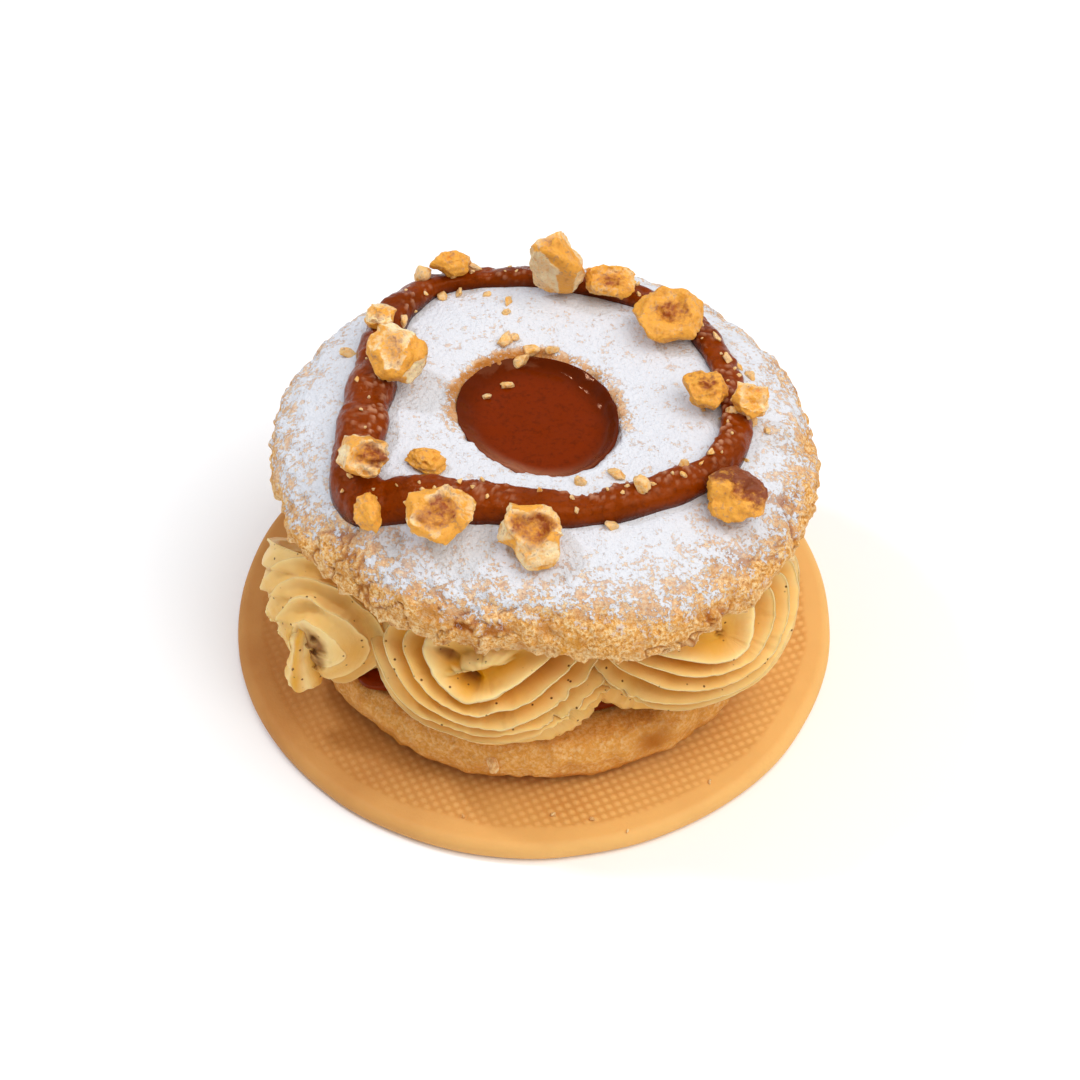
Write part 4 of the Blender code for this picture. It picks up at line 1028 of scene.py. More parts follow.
def make_rosette(index, rosette, settings, material):
    """A rosette's ridges are nested rings round its eye, crowded together where the nozzle
    turned. Each has a thin lip that leans outwards, over a wide hollow furrow, and the
    furrows are painted with shade."""
    columns = COLUMNS["rosette"]
    face = math.radians(rosette.face_at)
    lift = math.radians(rosette.face_lift)
    axis = np.array((math.cos(face) * math.cos(lift), math.sin(face) * math.cos(lift), math.sin(lift)))
    side = np.array((-math.sin(face), math.cos(face), 0.0))
    up = np.cross(axis, side)
    around = all_round(columns)
    rings = ridge_rings(rosette, around)
    smooth_face = rosette.ridged != ALL_ROUND
    reach, gap, lean, deep, number = ridge_rows(rings, smooth_face)
    half = np.array((ROSETTE_R, ROSETTE_R, ROSETTE_HALF_H)) * rosette.size
    raised = tongue_rise(rosette.tongues, reach * np.cos(around), reach * np.sin(around))
    across = reach * np.cos(around) + rosette.eye[0] * MM
    along = reach * np.sin(around) + rosette.eye[1] * MM
    far = np.hypot(across, along) / half[0]
    angle = np.minimum(far + 0.25 * far ** 3, 0.9 * math.pi)
    turn = np.arctan2(along, across)
    back = np.linspace(0.12, 1.0, ROSETTE_BACK_ROWS)[:, None]
    angle = np.vstack([angle, angle[-1] + (0.97 * math.pi - angle[-1]) * back])
    rows = ((turn, turn[-1]), (across, across[-1]), (reach, reach[-1]), (gap, gap[-1]), (lean, 0.0),
            (deep, 0.3), (raised, 0.0), (number, len(rings)))
    turn, across, reach, gap, lean, deep, raised, number = (
        over_back(values, last, columns) for values, last in rows)
    rim = np.cos(turn)[..., None] * side + np.sin(turn)[..., None] * up
    ray = np.cos(angle)[..., None] * axis + np.sin(angle)[..., None] * rim
    points = ray * half
    outwards = np.gradient(points, axis=0)
    outwards = outwards - np.sum(outwards * ray, axis=-1, keepdims=True) * ray
    outwards = outwards / np.maximum(np.linalg.norm(outwards, axis=-1, keepdims=True), 1e-9)
    for _ in range(2):
        lost = np.linalg.norm(outwards[:-1], axis=-1, keepdims=True) < 0.5
        outwards[:-1] = np.where(lost, outwards[1:], outwards[:-1])
    uneven = 0.3 * lumps(round_spots(number * 3.1, around, 2.0), 1.0, rosette.seed)
    uneven = 1.0 + uneven * ease(reach, 0.5 * MM, 4.0 * MM)
    shown = 0.1 + (0.4 if smooth_face else 0.9) * swell(around, *rosette.ridged)
    if smooth_face:
        shown = shown * ease(reach, 3.5 * MM, 6.5 * MM)
    tall = settings.ridge * np.clip(gap / FULL_RIDGE, 0.1, 1.0) ** 1.2 * uneven * shown
    lip = settings.lip * np.clip(gap / FULL_LIP, 0.2, 1.0) * uneven * shown
    torn_at, torn_from = rosette.torn
    fray = swell(around, torn_at, 26.0) * ease(reach, torn_from * MM, (torn_from + 3.0) * MM)
    teeth = np.maximum(lumps(points, 0.9 * MM, rosette.seed + 20), 0.0) * fray
    lip = lip * (1.0 - 0.9 * teeth)
    edge = RIDGE_EDGE * (1.0 - 1.2 * teeth)
    flow = round_spots(reach / (0.7 * MM), around, 3.0)
    fine = 0.05 * MM * lumps(points, 0.7 * MM, rosette.seed + 25) + 0.05 * MM * lumps(flow, 1.0, 27)
    swept = 0.35 * MM * lumps(points, 7.0 * MM, rosette.seed + 30)
    swept = swept + 0.4 * MM * fray * lumps(points, 0.8 * MM, rosette.seed + 35)
    height = edge - tall * deep + swept + fine + raised
    torn = np.zeros_like(reach)
    if smooth_face:
        torn = torn_pit(points, reach, around, rosette.seed)
        height = height - FACE_DENT * ease(across, -10.0 * MM, -2.0 * MM)
        height = height + side_steps(points, ray, side, up)
    points = points + ray * height[..., None] + outwards * (lip * lean)[..., None]
    points = points - axis * (TORN_DEPTH * torn)[..., None]
    at = math.radians(rosette.at)
    points = points + np.array((rosette.out * math.cos(at), rosette.out * math.sin(at), rosette.height))
    points[..., :2] += CREAM_AXIS
    radius, _ = polar(points - np.array((*LOWER_AXIS, 0.0)))
    points[..., 2] = np.clip(points[..., 2], cream_floor(radius), UPPER_Z - 0.1 * MM)
    # Painted shade and bounced light in the grooves: more the deeper a row lies and the wider its ridge,
    # and more at the lower left.
    groove_shading = rosette.groove_shading[0] + rosette.groove_shading[1] * swell(around, 215.0, 60.0)
    groove_shading = groove_shading * deep ** 0.5 * (0.66 + 0.34 * np.clip(gap / FULL_GROOVE_SHADE, 0.0, 1.0))
    # The pits in the eye are painted darker too, as shade.
    torn = torn + 0.9 * ease(-raised, 0.2 * MM, 1.2 * MM)
    marks = {
        "groove_shade": np.clip(groove_shading * (1.0 - 0.9 * ease(raised, 0.3 * MM, 1.5 * MM)), 0.0, 1.0),
        "torn": np.clip(torn, 0.0, 1.0),
        "across": reach / (0.6 * MM) + 40.0 * index,
        "along": np.abs(around / math.pi - 1.0) * 9.0,
    }
    piece = grid_object(f"cream_rosette_{index + 1}", points, material, marks)
    stand_for(piece, "cream", "cream")


def side_steps(points, ray, side, up):
    """The ends of the ridges at the left: each swells downwards to a sharp lower edge."""
    level = points @ up + 0.2 * (points @ side) + 0.5 * MM * lumps(points, 5.0 * MM, 44)
    share = 1.0 - (level / STEP_SPACING) % 1.0
    rise = np.minimum(0.15 + 0.85 * share, (1.0 - share) / 0.14)
    return STEP_RISE * (rise - 0.6) * ease(-(ray @ side), 0.5, 0.9)


def torn_pit(points, reach, around, seed):
    """Where the cream is torn out round the eye of the rosette at the left, from 0 to 1."""
    wander = lumps(points, 2.4 * MM, seed + 42)
    near = reach * np.hypot(np.cos(around) / 0.7, np.sin(around))
    near = ease(4.6 * MM + 0.8 * MM * wander - near, 0.0, 2.6 * MM)
    uneven = 0.85 + 0.3 * lumps(points, 1.3 * MM, seed + 40) + 0.22 * lumps(points, 0.7 * MM, seed + 41)
    return near * uneven


def make_cream_core(material):
    """The cream behind the rosettes, which shows in the gaps between them."""
    top = line((CORE_HOLLOW_R, CORE_TOP_Z), (CORE_R, CORE_TOP_Z), 3)
    side = line((CORE_R, CORE_TOP_Z), (CORE_R, LAYER_HIGH), 40)
    under = line((CORE_R, LAYER_HIGH), (CORE_HOLLOW_R, LAYER_HIGH), 3)
    wall = line((CORE_WALL_R, LAYER_HIGH), (CORE_WALL_R, CORE_TOP_Z), 4)
    points = turned(np.vstack([top, side, under, wall]), COLUMNS["core"])
    points = points + grid_normals(points, ring=True) * (0.5 * MM * lumps(points, 4.0 * MM, 61))[..., None]
    points[..., 2] = np.clip(points[..., 2], LAYER_HIGH, CORE_TOP_Z)
    points[..., :2] += CREAM_AXIS
    # Painted shade: the cream between the rosettes lies in shade, so it gets the grooves' deeper yellow
    # throughout.
    marks = {"groove_shade": 0.7, "across": points[..., 2] / MM, "along": 0.0}
    core = grid_object("cream_core", points, material, marks, ring=True)
    stand_for(core, "cream", "cream")


def make_tail(material):
    """The torn end of cream that hangs down at the left."""
    spots = np.array(TAIL_POINTS) * MM
    share = np.linspace(0.0, len(spots) - 1.0, TAIL_ROWS)
    path = np.stack([np.interp(share, range(len(spots)), spots[:, i]) for i in range(3)], axis=-1)
    width = np.interp(share, range(len(spots)), TAIL_WIDTHS) * MM
    width[-4:] *= (0.96, 0.88, 0.72, 0.4)
    width[:3] *= (0.3, 0.7, 0.9)
    around = all_round(COLUMNS["tail"])
    side = np.array((0.5, -0.86, 0.0))
    across = np.array((0.86, 0.5, 0.1))
    ring = np.cos(around)[:, None] * across + 0.75 * np.sin(around)[:, None] * side
    points = path[:, None, :] + width[:, None, None] * ring[None]
    relief = 0.4 * lumps(points, 2.2 * MM, 71) + 0.16 * lumps(points, 0.8 * MM, 72)
    relief = relief + 0.25 * np.cos(4.0 * around)
    points = points + grid_normals(points) * (MM * relief)[..., None]
    points[..., :2] += CREAM_AXIS
    # Painted shade in the tail's four grooves, a little to one side of where its relief sinks.
    marks = {"groove_shade": 0.35 - 0.35 * np.cos(4.0 * around - 0.6), "across": around * 3.0,
             "along": share[:, None] * 0.6}
    tail = grid_object("cream_torn_tail", points, material, marks)
    stand_for(tail, "cream", "cream")


def upper_section():
    """The upper ring's cut section as (radius, height) points, from the crown out and down,
    then back underneath and up the wall of the hole."""
    shoulder = (UPPER_SHOULDER, UPPER_RIM_Z - UPPER_Z)
    lip_centre = (HOLE_R + LIP_R, CROWN_Z - LIP_DROP - LIP_R)
    dome = arc((CROWN_R, UPPER_RIM_Z), (UPPER_R - CROWN_R, CROWN_Z - UPPER_RIM_Z), 90.0, 0.0, 74)
    under = arc((UPPER_R - UPPER_SHOULDER, UPPER_RIM_Z), shoulder, -6.0, -90.0, 14)
    base = line((UPPER_R - UPPER_SHOULDER, UPPER_Z), (HOLE_R, UPPER_Z), 12)
    wall = line((HOLE_R, UPPER_Z), (HOLE_R, lip_centre[1]), 12)
    lip = arc(lip_centre, (LIP_R, LIP_R), 180.0, 100.0, 9)
    crown = line(lip[-1], (CROWN_R, CROWN_Z), 24)
    return np.vstack([dome, under, base, wall, lip, crown])


def sugar_cover(points, outwards, steep, theta):
    """How thickly sugar lies, from 0 to 1: full on the crown, and thinning towards the rim,
    sooner at the front and the right."""
    line_at = SUGAR_LINE + sum(shift * swell(theta, at, spread) for at, spread, shift in SUGAR_DIPS)
    patchy = 0.1 * lumps(points, 5.0 * MM, 81) + 0.08 * lumps(points, 2.0 * MM, 83)
    cover = 1.0 - ease(outwards + patchy - line_at, -SUGAR_FADE, SUGAR_FADE)
    cover = cover * ease(points[..., 2], UPPER_RIM_Z - 2.4 * MM, UPPER_RIM_Z + 0.8 * MM)
    cover = cover * (0.4 + 0.6 * ease(steep, 0.1, 0.7))
    return np.clip(cover, 0.0, 1.0)


def make_upper_choux(settings):
    """The domed upper half: crags and crumbs that thin under the sugar, a dented and crumbly
    rim, and an oval hole whose edge has drawn up praline."""
    points = turned(upper_section(), COLUMNS["upper"])
    radius, theta = polar(points)
    outwards = np.clip((radius - CROWN_R) / (UPPER_R - CROWN_R), 0.0, 1.0)
    soaked = ease(HOLE_R + SOAKED_WIDTH - radius + 1.2 * MM * lumps(points, 2.2 * MM, 82), 0.0, 2.4 * MM)
    soaked = soaked * ease(np.sin(theta), -0.45, 0.1) * (0.75 + 0.25 * swell(theta, 120.0, 50.0))
    underneath = (points[..., 2] < UPPER_Z + 0.01 * MM) & (radius < UPPER_R - UNDERSIDE_EDGE)
    in_hole = (radius < HOLE_R + LIP_R) & (points[..., 2] < CROWN_Z - LIP_DROP - 0.01 * MM)
    shown = np.where(underneath, 0.0, 1.0)
    strength = np.where(in_hole, 0.0, shown) * (SUGARED_CRAG + (1.0 - SUGARED_CRAG) * outwards ** 2)
    normals = grid_normals(points, ring=True)
    points = points + normals * (strength * UPPER_CRAG * crags(points))[..., None]
    radius = oval_hole(polar(points)[0], theta)
    radius = radius + outwards * sum(depth * swell(theta, at, spread) for at, spread, depth in RIM_DENTS)
    wet = ease(points[..., 2], POOL_Z - 1.0 * MM, POOL_Z) * ease(HOLE_BLEND_R - radius, 2.0 * MM, 5.0 * MM)
    ragged = lumps(points, 1.7 * MM, 95) + 0.6 * lumps(points, 0.8 * MM, 96)
    radius = radius + 0.45 * MM * wet * ragged
    points = from_polar(radius, theta, np.maximum(points[..., 2], UPPER_Z))
    steep = grid_normals(points, ring=True)[..., 2]
    cover = sugar_cover(points, outwards, steep, theta) * (1.0 - 0.85 * soaked)
    rough = shown * (0.12 + 0.9 * ease(0.95 - cover, 0.0, 0.7)) * np.where(in_hole, 0.4, 1.0)
    points, deep = crust_relief(points, grid_normals(points, ring=True), rough, settings, 91)
    rim = ease(points[..., 2], UPPER_Z + 3.4 * MM, UPPER_Z + 0.8 * MM) * shown
    torn = lumps(points, 1.6 * MM, 92) + 0.8 * lumps(points, 0.8 * MM, 93)
    points = points + from_polar(0.6 * MM * torn * rim, theta, -0.6 * MM * np.abs(torn) * rim)
    points[..., 2] = np.maximum(points[..., 2], UPPER_Z)
    points[..., :2] += UPPER_AXIS
    beyond = points[..., 1] - MELTED_AT[1] + 0.1 * points[..., 0]
    melted = np.hypot(0.5 * (points[..., 0] - MELTED_AT[0]), beyond)
    melted = ease(melted + 0.4 * MM * lumps(points, 1.6 * MM, 97), 2.0 * MM, 1.1 * MM)
    marks = {
        "crease": np.maximum(deep * (1.0 - melted), 0.8 * soaked ** 2),
        "sugar": cover * (1.0 - rim),
        "amber": np.clip(0.9 * melted * ease(points[..., 2], CROWN_Z, UPPER_RIM_Z), 0.0, 1.0),
        "crumbly": rim * ease(lumps(points, 1.1 * MM, 94), -0.5, 0.4),
    }
    upper = grid_object("choux_upper_dome", points, sugared_crust(settings), marks, ring=True)
    stand_for(upper, "sugared_choux", "choux_top")


def make_pool(settings):
    """Praline poured into the hole, drawn up a little where it wets the wall."""
    radii = [np.linspace(0.4 * MM, 0.8 * POOL_R, 30), np.linspace(0.82 * POOL_R, POOL_R, 20)]
    radii = np.concatenate(radii)
    rise = POOL_MENISCUS * ease(radii, 0.74 * POOL_R, 1.04 * POOL_R) ** 2
    surface = np.stack([radii, POOL_Z + rise], axis=-1)
    wall = np.linspace((POOL_R, POOL_Z), (POOL_FOOT_R, POOL_BOTTOM_Z), 8)
    under = line((POOL_FOOT_R, POOL_BOTTOM_Z), (0.5 * MM, POOL_BOTTOM_Z), 3)
    points = turned(np.vstack([surface, wall, under]), COLUMNS["pool"])
    radius, theta = polar(points)
    ripple = 0.07 * MM * lumps(points, 2.6 * MM, 101) * ease(points[..., 2], POOL_Z - 1.0 * MM, POOL_Z)
    edge = ease(radius, 0.74 * POOL_R, 0.92 * POOL_R) * ease(points[..., 2], POOL_Z - 0.5 * MM, POOL_Z)
    ripple = ripple + 0.3 * MM * edge * lumps(points, 1.9 * MM, 102)
    heaped = 0.9 * MM * ease(radius, 0.7 * POOL_R, POOL_R) ** 2 * (points[..., 2] > POOL_Z)
    ripple = ripple + heaped * swell(theta, 8.0, 50.0)
    # Painted light and shade: a paler band where light shows through the thin edge, and painted shade
    # round the rest of the edge under the wall.
    thin = 0.3 * edge * swell(theta, POOL_LIT_AT, 55.0)
    shade = 0.75 * ease(radius, 0.6 * POOL_R, 0.97 * POOL_R) * (1.0 - swell(theta, POOL_LIT_AT, 60.0))
    points = from_polar(oval_hole(radius, theta), theta, points[..., 2] + ripple)
    points[..., :2] += UPPER_AXIS
    material = wet_praline("praline_poured", settings.pool, settings.crumb, settings, 0.15)
    pool = grid_object("praline_poured_pool", points, material, {"grit": thin, "shade": shade})
    stand_for(pool, "praline", "praline_pool")


def closed_curve(points, steps):
    """A smooth closed curve through points, with so many steps from one to the next."""
    points = np.array(points)
    before, after, beyond = np.roll(points, 1, 0), np.roll(points, -1, 0), np.roll(points, -2, 0)
    curve = []
    for share in np.arange(steps) / steps:
        a = 2.0 * points + (after - before) * share
        b = (2.0 * before - 5.0 * points + 4.0 * after - beyond) * share ** 2
        c = (3.0 * points - before - 3.0 * after + beyond) * share ** 3
        curve.append(0.5 * (a + b + c))
    return np.stack(curve, axis=1).reshape(-1, points.shape[1])


def make_loop(settings, ground):
    """The piped loop: a flattened rope of praline that follows the dome."""
    path = closed_curve(LOOP_TURNS, LOOP_STEPS) * MM
    forward = np.roll(path[:, :2], -1, axis=0) - np.roll(path[:, :2], 1, axis=0)
    forward = forward / np.linalg.norm(forward, axis=-1, keepdims=True)
    side = np.stack([forward[:, 1], -forward[:, 0]], axis=-1)
    around = all_round(COLUMNS["loop"])
    width = path[:, 2:] * (1.0 + 0.12 * lumps(path * (1.0, 1.0, 0.0), 3.6 * MM, 111)[:, None])
    offset = width * np.sign(np.cos(around)) * np.abs(np.cos(around)) ** 0.72
    rise = width * LOOP_HEIGHT * np.maximum(0.0, np.sin(around)) ** 0.6
    flat = path[:, None, :2] + side[:, None, :] * offset[..., None]
    lows = [ground_under(ground, x, y) for x, y in flat.reshape(-1, 2).tolist()]
    lows = np.array([UPPER_Z if low is None else low for low in lows]).reshape(offset.shape)
    for _ in range(LOOP_SMOOTHING):
        lows = (np.roll(lows, 1, 0) + lows + np.roll(lows, -1, 0)) / 3.0
    points = np.concatenate([flat, (lows + rise)[..., None]], axis=-1)
    shown = ease(rise, 0.2 * MM, 1.2 * MM)
    relief = 0.34 * MM * lumps(points, 3.2 * MM, 112) + 0.2 * MM * lumps(points, 1.3 * MM, 113)
    relief = relief + 0.1 * MM * lumps(points, 0.7 * MM, 117)
    nearest, own = crumbs(points, 1.7 * settings.grit, 114)
    gritty = ease(0.6 - nearest, 0.0, 0.35) * ease(own, 0.36, 0.46)
    gritty = gritty * ease(lumps(points, 5.0 * MM, 115), -0.4, 0.2)
    gritty = gritty * swell(np.broadcast_to(around, rise.shape), 60.0, 40.0)
    relief = relief + 0.35 * MM * gritty
    points = points + grid_normals(points, ring=True) * (shown * relief)[..., None]
    material = wet_praline("praline_piped", settings.ribbon, settings.crumb, settings, 0.9)
    # Painted shade on the loop's lower sides, and darker patches at random.
    shade = 0.6 * ease(0.55 - rise / (LOOP_HEIGHT * width), 0.0, 0.4)
    shade = shade + 0.35 * ease(lumps(points, 4.0 * MM, 116), 0.1, 0.7)
    marks = {"grit": 0.75 * gritty, "shade": np.clip(shade, 0.0, 1.0)}
    loop = grid_object("praline_piped_loop", points, material, marks, ring=True)
    stand_for(loop, "praline", "praline_ring")


def break_planes(seed):
    """Flat breaks round a nut: outward directions and how far out each one lies."""
    draw = random.Random(seed)
    planes = []
    for i in range(NUT_FACETS):
        angle = math.tau * (i + draw.uniform(0.1, 0.9)) / NUT_FACETS
        lean = draw.uniform(-0.6, 0.9)
        direction = Vector((math.cos(angle), math.sin(angle), lean)).normalized()
        planes.append((np.array(direction), draw.uniform(0.6, 0.92)))
    return planes


def ball(detail):
    """The points and triangles of a unit ball."""
    bm = bmesh.new()
    bmesh.ops.create_icosphere(bm, subdivisions=detail, radius=1.0)
    points = np.array([vertex.co[:] for vertex in bm.verts])
    faces = [[vertex.index for vertex in face.verts] for face in bm.faces]
    bm.free()
    return points, faces


def make_nut(index, nut, settings, material, unit, faces, ground):
    """A broken hazelnut inside the box of its solid, let down onto what carries it. Its skin
    side is smooth, and its broken face is lumpy, with a ragged rim and a toasted heart."""
    name = f"hazelnut_{index:02d}"
    low, high = (np.array(corner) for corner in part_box(name))
    offset = nut.seed * np.array((1.0, 2.0, 3.0))
    place = unit + offset
    ragged = 1.0 + NUT_RAGGED * lumps(place, 0.8, 7) + 0.1 * lumps(place, 0.34, 9)
    points = unit * ragged[:, None]
    count, depth, turn = nut.lobes
    lobe = np.cos(count * (np.arctan2(unit[:, 1], unit[:, 0]) - math.radians(turn)))
    points[:, :2] *= (1.0 + depth * lobe * np.hypot(unit[:, 0], unit[:, 1]))[:, None]
    broken = np.zeros(len(points))
    for normal, reach in break_planes(nut.seed):
        excess = points @ normal - reach - 0.05 * lumps(place, 0.3, 10)
        points = points - np.maximum(excess, 0.0)[:, None] * normal * 0.92
        broken = np.maximum(broken, ease(excess, 0.0, 0.05))
    flat = np.stack([points[:, 0], points[:, 1], np.full(len(points), 0.37 * nut.seed)], axis=-1)
    spread = np.hypot(points[:, 0] - 0.1, points[:, 1] - 0.06) + 0.2 * lumps(flat, 0.55, 13)
    hollow = 0.6 * (0.1 + nut.hollow) * ease(0.6 - spread, 0.0, 0.4)
    hollow = hollow * (1.0 + 0.5 * lumps(flat, 0.3, 14))
    level = nut.face - hollow + 0.3 * lumps(flat, 0.6, 11) + 0.15 * lumps(flat, 0.24, 12)
    heart = ease(0.74 - spread + 0.12 * lumps(flat, 0.3, 15), 0.0, 0.5)
    over = points[:, 2] > level
    points[:, 2] = np.where(over, level, points[:, 2])
    broken = np.maximum(broken, over * 1.0)
    scaled = points * np.array(nut.half) * MM
    spots = scaled + offset * MM
    chips = lumps(spots, 1.3 * MM, nut.seed) + 0.6 * lumps(spots, 0.6 * MM, nut.seed)
    chips = chips + 0.3 * lumps(spots, 0.35 * MM, nut.seed + 1)
    scaled = scaled + unit * (settings.chip * chips * (0.25 + 0.75 * broken))[:, None]
    turn = np.array(Euler([math.radians(angle) for angle in nut.turns]).to_matrix())
    placed = scaled @ turn.T
    lowest, highest = placed.min(axis=0), placed.max(axis=0)
    placed = low + (placed - lowest) / (highest - lowest) * (high - low)
    under = [(z, ground_under(ground, x, y)) for x, y, z in placed[::4].tolist()]
    drop = min([z - level for z, level in under if level is not None], default=0.0) + NUT_PRESS
    placed[:, 2] -= min(max(drop, 0.0), NUT_DROP)
    wander = lumps(place, 0.45, 8)
    pale = np.clip(broken * nut.pale * (1.0 + 0.6 * wander), 0.0, 1.0)
    pale = pale * (1.0 - 0.6 * over * ease(spread, 0.62, 0.85)) * (1.0 - 0.7 * heart)
    toast = nut.toast * heart * (0.75 + 0.5 * wander) * (0.4 + 0.6 * over)
    skin = nut.skin * ease(0.35 + 0.4 * wander + 0.7 * unit[:, 0] + 0.3 * unit[:, 1], 0.0, 0.9)
    marks = {"pale": pale, "toast": np.clip(toast, 0.0, 1.0), "skin": np.clip(skin, 0.0, 1.0)}
    piece = mesh_object(name + "_broken", placed, faces, material, marks)
    stand_for(piece, "hazelnut", name)


def scatter(name, spots, material, marks, seed):
    """One mesh of small broken pieces: each spot is x, y, the ground's height and a length."""
    draw = random.Random(seed)
    unit, faces = ball(BIT_DETAIL)
    vertices = []
    triangles = []
    for x, y, height, size in spots:
        half = 0.5 * size * np.array((1.0, draw.uniform(0.5, 0.85), draw.uniform(0.45, 0.75)))
        turn = Euler([draw.uniform(-0.6, 0.6), draw.uniform(-0.6, 0.6), draw.uniform(0.0, math.pi)])
        place = unit + draw.uniform(0.0, 90.0)
        shape = unit * (1.0 + 0.45 * lumps(place, 0.9, 3) + 0.2 * lumps(place, 0.4, 4))[:, None]
        for normal, reach in break_planes(draw.randrange(1000)):
            shape = shape - np.maximum(shape @ normal - 0.8 * reach, 0.0)[:, None] * normal
        placed = (shape * half) @ np.array(turn.to_matrix()).T
        placed = placed + np.array((x, y, height + 0.35 * half[2]))
        start = len(unit) * len(vertices)
        vertices.append(placed)
        triangles += [[start + i for i in face] for face in faces]
    count = sum(len(part) for part in vertices)
    marks = {key: np.full(count, value) for key, value in marks.items()}
    return mesh_object(name, np.vstack(vertices), triangles, material, marks)


def make_bits(material, ground):
    """Chopped hazelnut bits: the large ones in their places, and fine grit round them."""
    draw = random.Random(5)
    spots = [(x * MM, y * MM, size * MM) for x, y, size in BITS]
    for x, y, width in (closed_curve(LOOP_TURNS, 4) * MM).tolist():
        reach = draw.uniform(-1.2, 1.2) * width
        angle = draw.uniform(0.0, math.tau)
        size = draw.uniform(0.5, 1.3) * MM
        spots.append((x + reach * math.cos(angle), y + reach * math.sin(angle), size))
    spots = [(x, y, ground_under(ground, x, y), size) for x, y, size in spots]
    spots = [spot for spot in spots if spot[2] is not None]
    bits = scatter("hazelnut_bits", spots, material, {"pale": 0.45, "toast": 0.1, "skin": 0.0}, 6)
    stand_for(bits, "hazelnut")


def make_crumbs(settings):
    """Loose crumbs of crust that fell on the biscuit, and one that hangs under the cream."""
    spots = [(x * MM, y * MM, z * MM or BISCUIT_T, size * MM) for x, y, z, size in CRUMBS]
    marks = {"crease": 0.0, "amber": 0.0, "crumbly": 0.8}
    fallen = scatter("choux_loose_crumbs", spots, choux_crust(settings), marks, 7)
    stand_for(fallen, "choux")


def make_camera():
    """The camera that took the picture, which looks down at the pastry from the front."""
    data = bpy.data.cameras.new("camera")
    data.lens = FOCAL_PX / PICTURE_PX * SENSOR_MM
    data.sensor_width = SENSOR_MM
    data.shift_x, data.shift_y = CAMERA_SHIFT
    camera = add_object("camera", data)
    back = Vector((0.0, -math.cos(CAMERA_TILT), math.sin(CAMERA_TILT)))
    camera.location = CAMERA_AIM + CAMERA_FAR * back
    camera.rotation_euler = (0.5 * math.pi - CAMERA_TILT, 0.0, 0.0)
    bpy.context.scene.camera = camera


def add_light(name, place, size, shade, power):
    """A square soft light that faces the pastry."""
    data = bpy.data.lights.new(name, 'AREA')
    data.size = size
    data.energy = power
    data.color = linear(shade)[:3]
    light = add_object(name, data)
    light.location = place
    light.rotation_euler = (CAMERA_AIM - Vector(place)).to_track_quat('-Z', 'Y').to_euler()


def make_stage(settings):
    """The white board, the two soft lights and the white surroundings."""
    bm = bmesh.new()
    bmesh.ops.create_grid(bm, x_segments=1, y_segments=1, size=FLOOR_SIZE)
    mesh = bpy.data.meshes.new("floor")
    bm.to_mesh(mesh)
    bm.free()
    mesh.materials.append(plain_floor(settings.floor))
    floor = add_object("floor", mesh)
    floor.location.z = -FLOOR_DROP
    add_light("key", *KEY_LIGHT, settings.key)
    add_light("window", *WINDOW_LIGHT, settings.window)
    world = bpy.data.worlds.new("studio")
    world.use_nodes = True
    background = world.node_tree.nodes["Background"]
    background.inputs["Color"].default_value = (1.0, 1.0, 1.0, 1.0)
    background.inputs["Strength"].default_value = settings.sky
    bpy.context.scene.world = world
    bpy.context.scene.view_settings.view_transform = 'Standard'


class PASTRY_OT_biscuit(bpy.types.Operator):
    """Make the round shortbread with its mesh print"""
    bl_idname = "pastry.biscuit"
    bl_label = "Shortbread"

    def execute(self, context):
        make_biscuit(context.scene.biscuit)
        return {'FINISHED'}


class PASTRY_OT_choux_bottom(bpy.types.Operator):
    """Make the lower half of the choux"""
    bl_idname = "pastry.choux_bottom"
    bl_label = "Lower choux"

    def execute(self, context):
        make_lower_choux(context.scene.choux)
        return {'FINISHED'}


class PASTRY_OT_cream(bpy.types.Operator):
    """Pipe the rosettes of hazelnut cream and the torn tail"""
    bl_idname = "pastry.cream"
    bl_label = "Hazelnut cream"

    def execute(self, context):
        settings = context.scene.cream
        material = nut_cream(settings)
        for index, rosette in enumerate(ROSETTES):
            make_rosette(index, rosette, settings, material)
        make_cream_core(material)
        make_tail(material)
        return {'FINISHED'}


class PASTRY_OT_choux_top(bpy.types.Operator):
    """Make the sugared upper half of the choux and its loose crumbs"""
    bl_idname = "pastry.choux_top"
    bl_label = "Upper choux"

    def execute(self, context):
        make_upper_choux(context.scene.choux)
        make_crumbs(context.scene.choux)
        return {'FINISHED'}


class PASTRY_OT_praline(bpy.types.Operator):
    """Make the praline layer, the pool in the hole and the piped loop"""
    bl_idname = "pastry.praline"
    bl_label = "Praline"

    def execute(self, context):
        settings = context.scene.praline
        make_praline_layer(settings)
        make_pool(settings)
        make_loop(settings, surface_tree("choux_upper_dome"))
        return {'FINISHED'}


class PASTRY_OT_hazelnuts(bpy.types.Operator):
    """Make the broken hazelnuts and their bits"""
    bl_idname = "pastry.hazelnuts"
    bl_label = "Hazelnuts"

    def execute(self, context):
        settings = context.scene.hazelnut
        material = roasted_hazelnut(settings)
        unit, faces = ball(NUT_DETAIL)
        ground = surface_tree("choux_upper_dome", "praline_poured_pool", "praline_piped_loop")
        for index, nut in enumerate(NUTS, start=1):
            make_nut(index, nut, settings, material, unit, faces, ground)
        make_bits(material, ground)
        return {'FINISHED'}


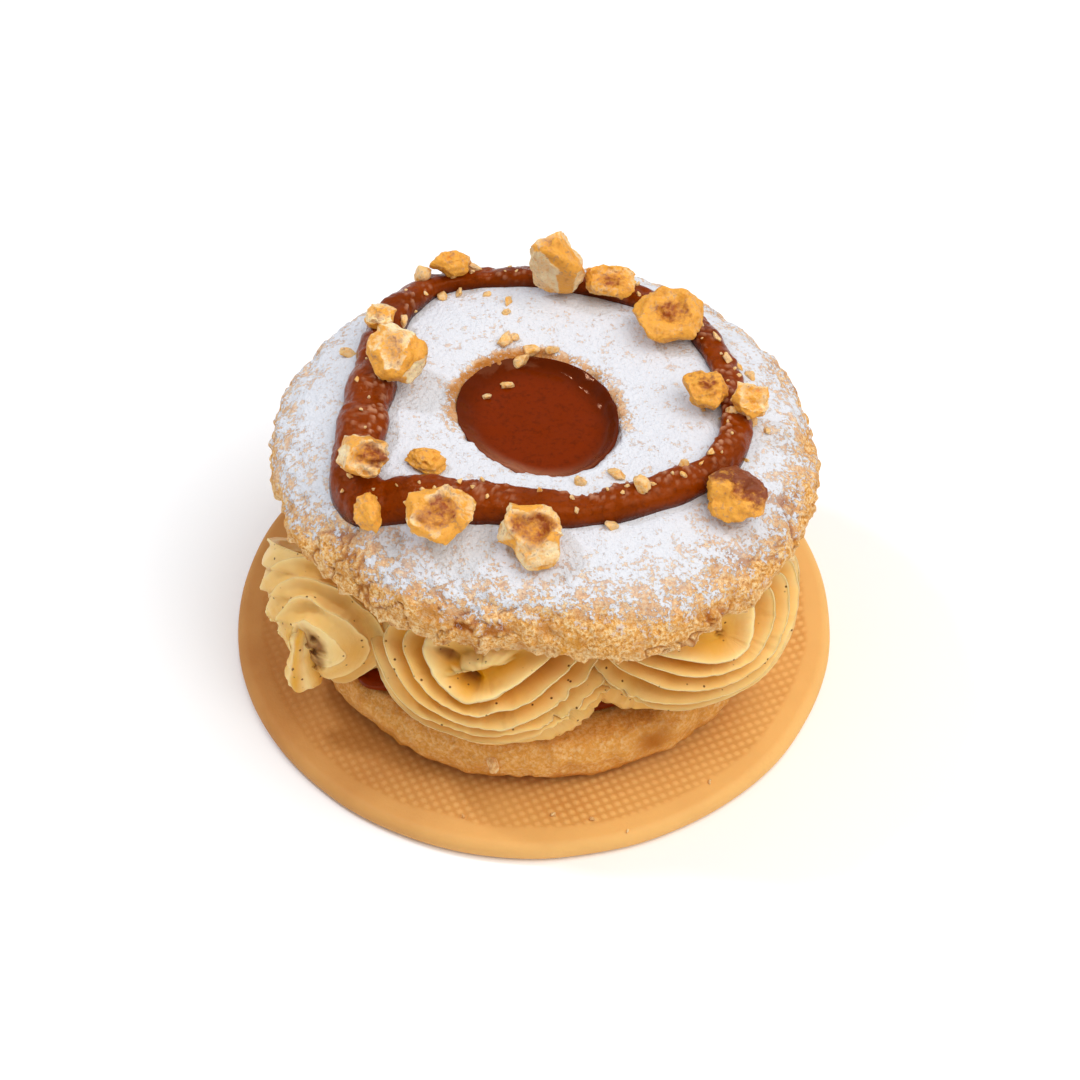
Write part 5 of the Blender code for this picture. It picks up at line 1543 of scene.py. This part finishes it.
class PASTRY_OT_stage(bpy.types.Operator):
    """Set the floor, the lights and the camera"""
    bl_idname = "pastry.stage"
    bl_label = "Stage"

    def execute(self, context):
        make_stage(context.scene.stage)
        make_camera()
        return {'FINISHED'}


class PASTRY_PT_panel(bpy.types.Panel):
    """Lists the pastry's pieces with their settings"""
    bl_idname = "PASTRY_PT_panel"
    bl_label = "Paris-Brest"
    bl_space_type = 'VIEW_3D'
    bl_region_type = 'UI'
    bl_category = "Pastry"

    def draw(self, context):
        for operator, group in PIECES:
            self.layout.operator(operator.bl_idname)
            if group:
                box = self.layout.box()
                settings = getattr(context.scene, group)
                for name in type(settings).__annotations__:
                    box.prop(settings, name)


PIECES = (
    (PASTRY_OT_biscuit, "biscuit"),
    (PASTRY_OT_choux_bottom, "choux"),
    (PASTRY_OT_cream, "cream"),
    (PASTRY_OT_choux_top, None),
    (PASTRY_OT_praline, "praline"),
    (PASTRY_OT_hazelnuts, "hazelnut"),
    (PASTRY_OT_stage, "stage"),
)
GROUPS = {
    "biscuit": BiscuitSettings,
    "choux": ChouxSettings,
    "cream": CreamSettings,
    "praline": PralineSettings,
    "hazelnut": HazelnutSettings,
    "stage": StageSettings,
}


def register():
    """Add the settings, the operators and the panel."""
    for name, group in GROUPS.items():
        bpy.utils.register_class(group)
        setattr(bpy.types.Scene, name, PointerProperty(type=group))
    for operator, _ in PIECES:
        bpy.utils.register_class(operator)
    bpy.utils.register_class(PASTRY_PT_panel)


def unregister():
    """Take away what register adds."""
    bpy.utils.unregister_class(PASTRY_PT_panel)
    for operator, _ in reversed(PIECES):
        bpy.utils.unregister_class(operator)
    for name, group in GROUPS.items():
        delattr(bpy.types.Scene, name)
        bpy.utils.unregister_class(group)


def main():
    """Make the stage and all the pieces."""
    register()
    bpy.ops.pastry.stage()
    bpy.ops.pastry.biscuit()
    bpy.ops.pastry.choux_bottom()
    bpy.ops.pastry.cream()
    bpy.ops.pastry.choux_top()
    bpy.ops.pastry.praline()
    bpy.ops.pastry.hazelnuts()


if __name__ == "__main__":
    main()
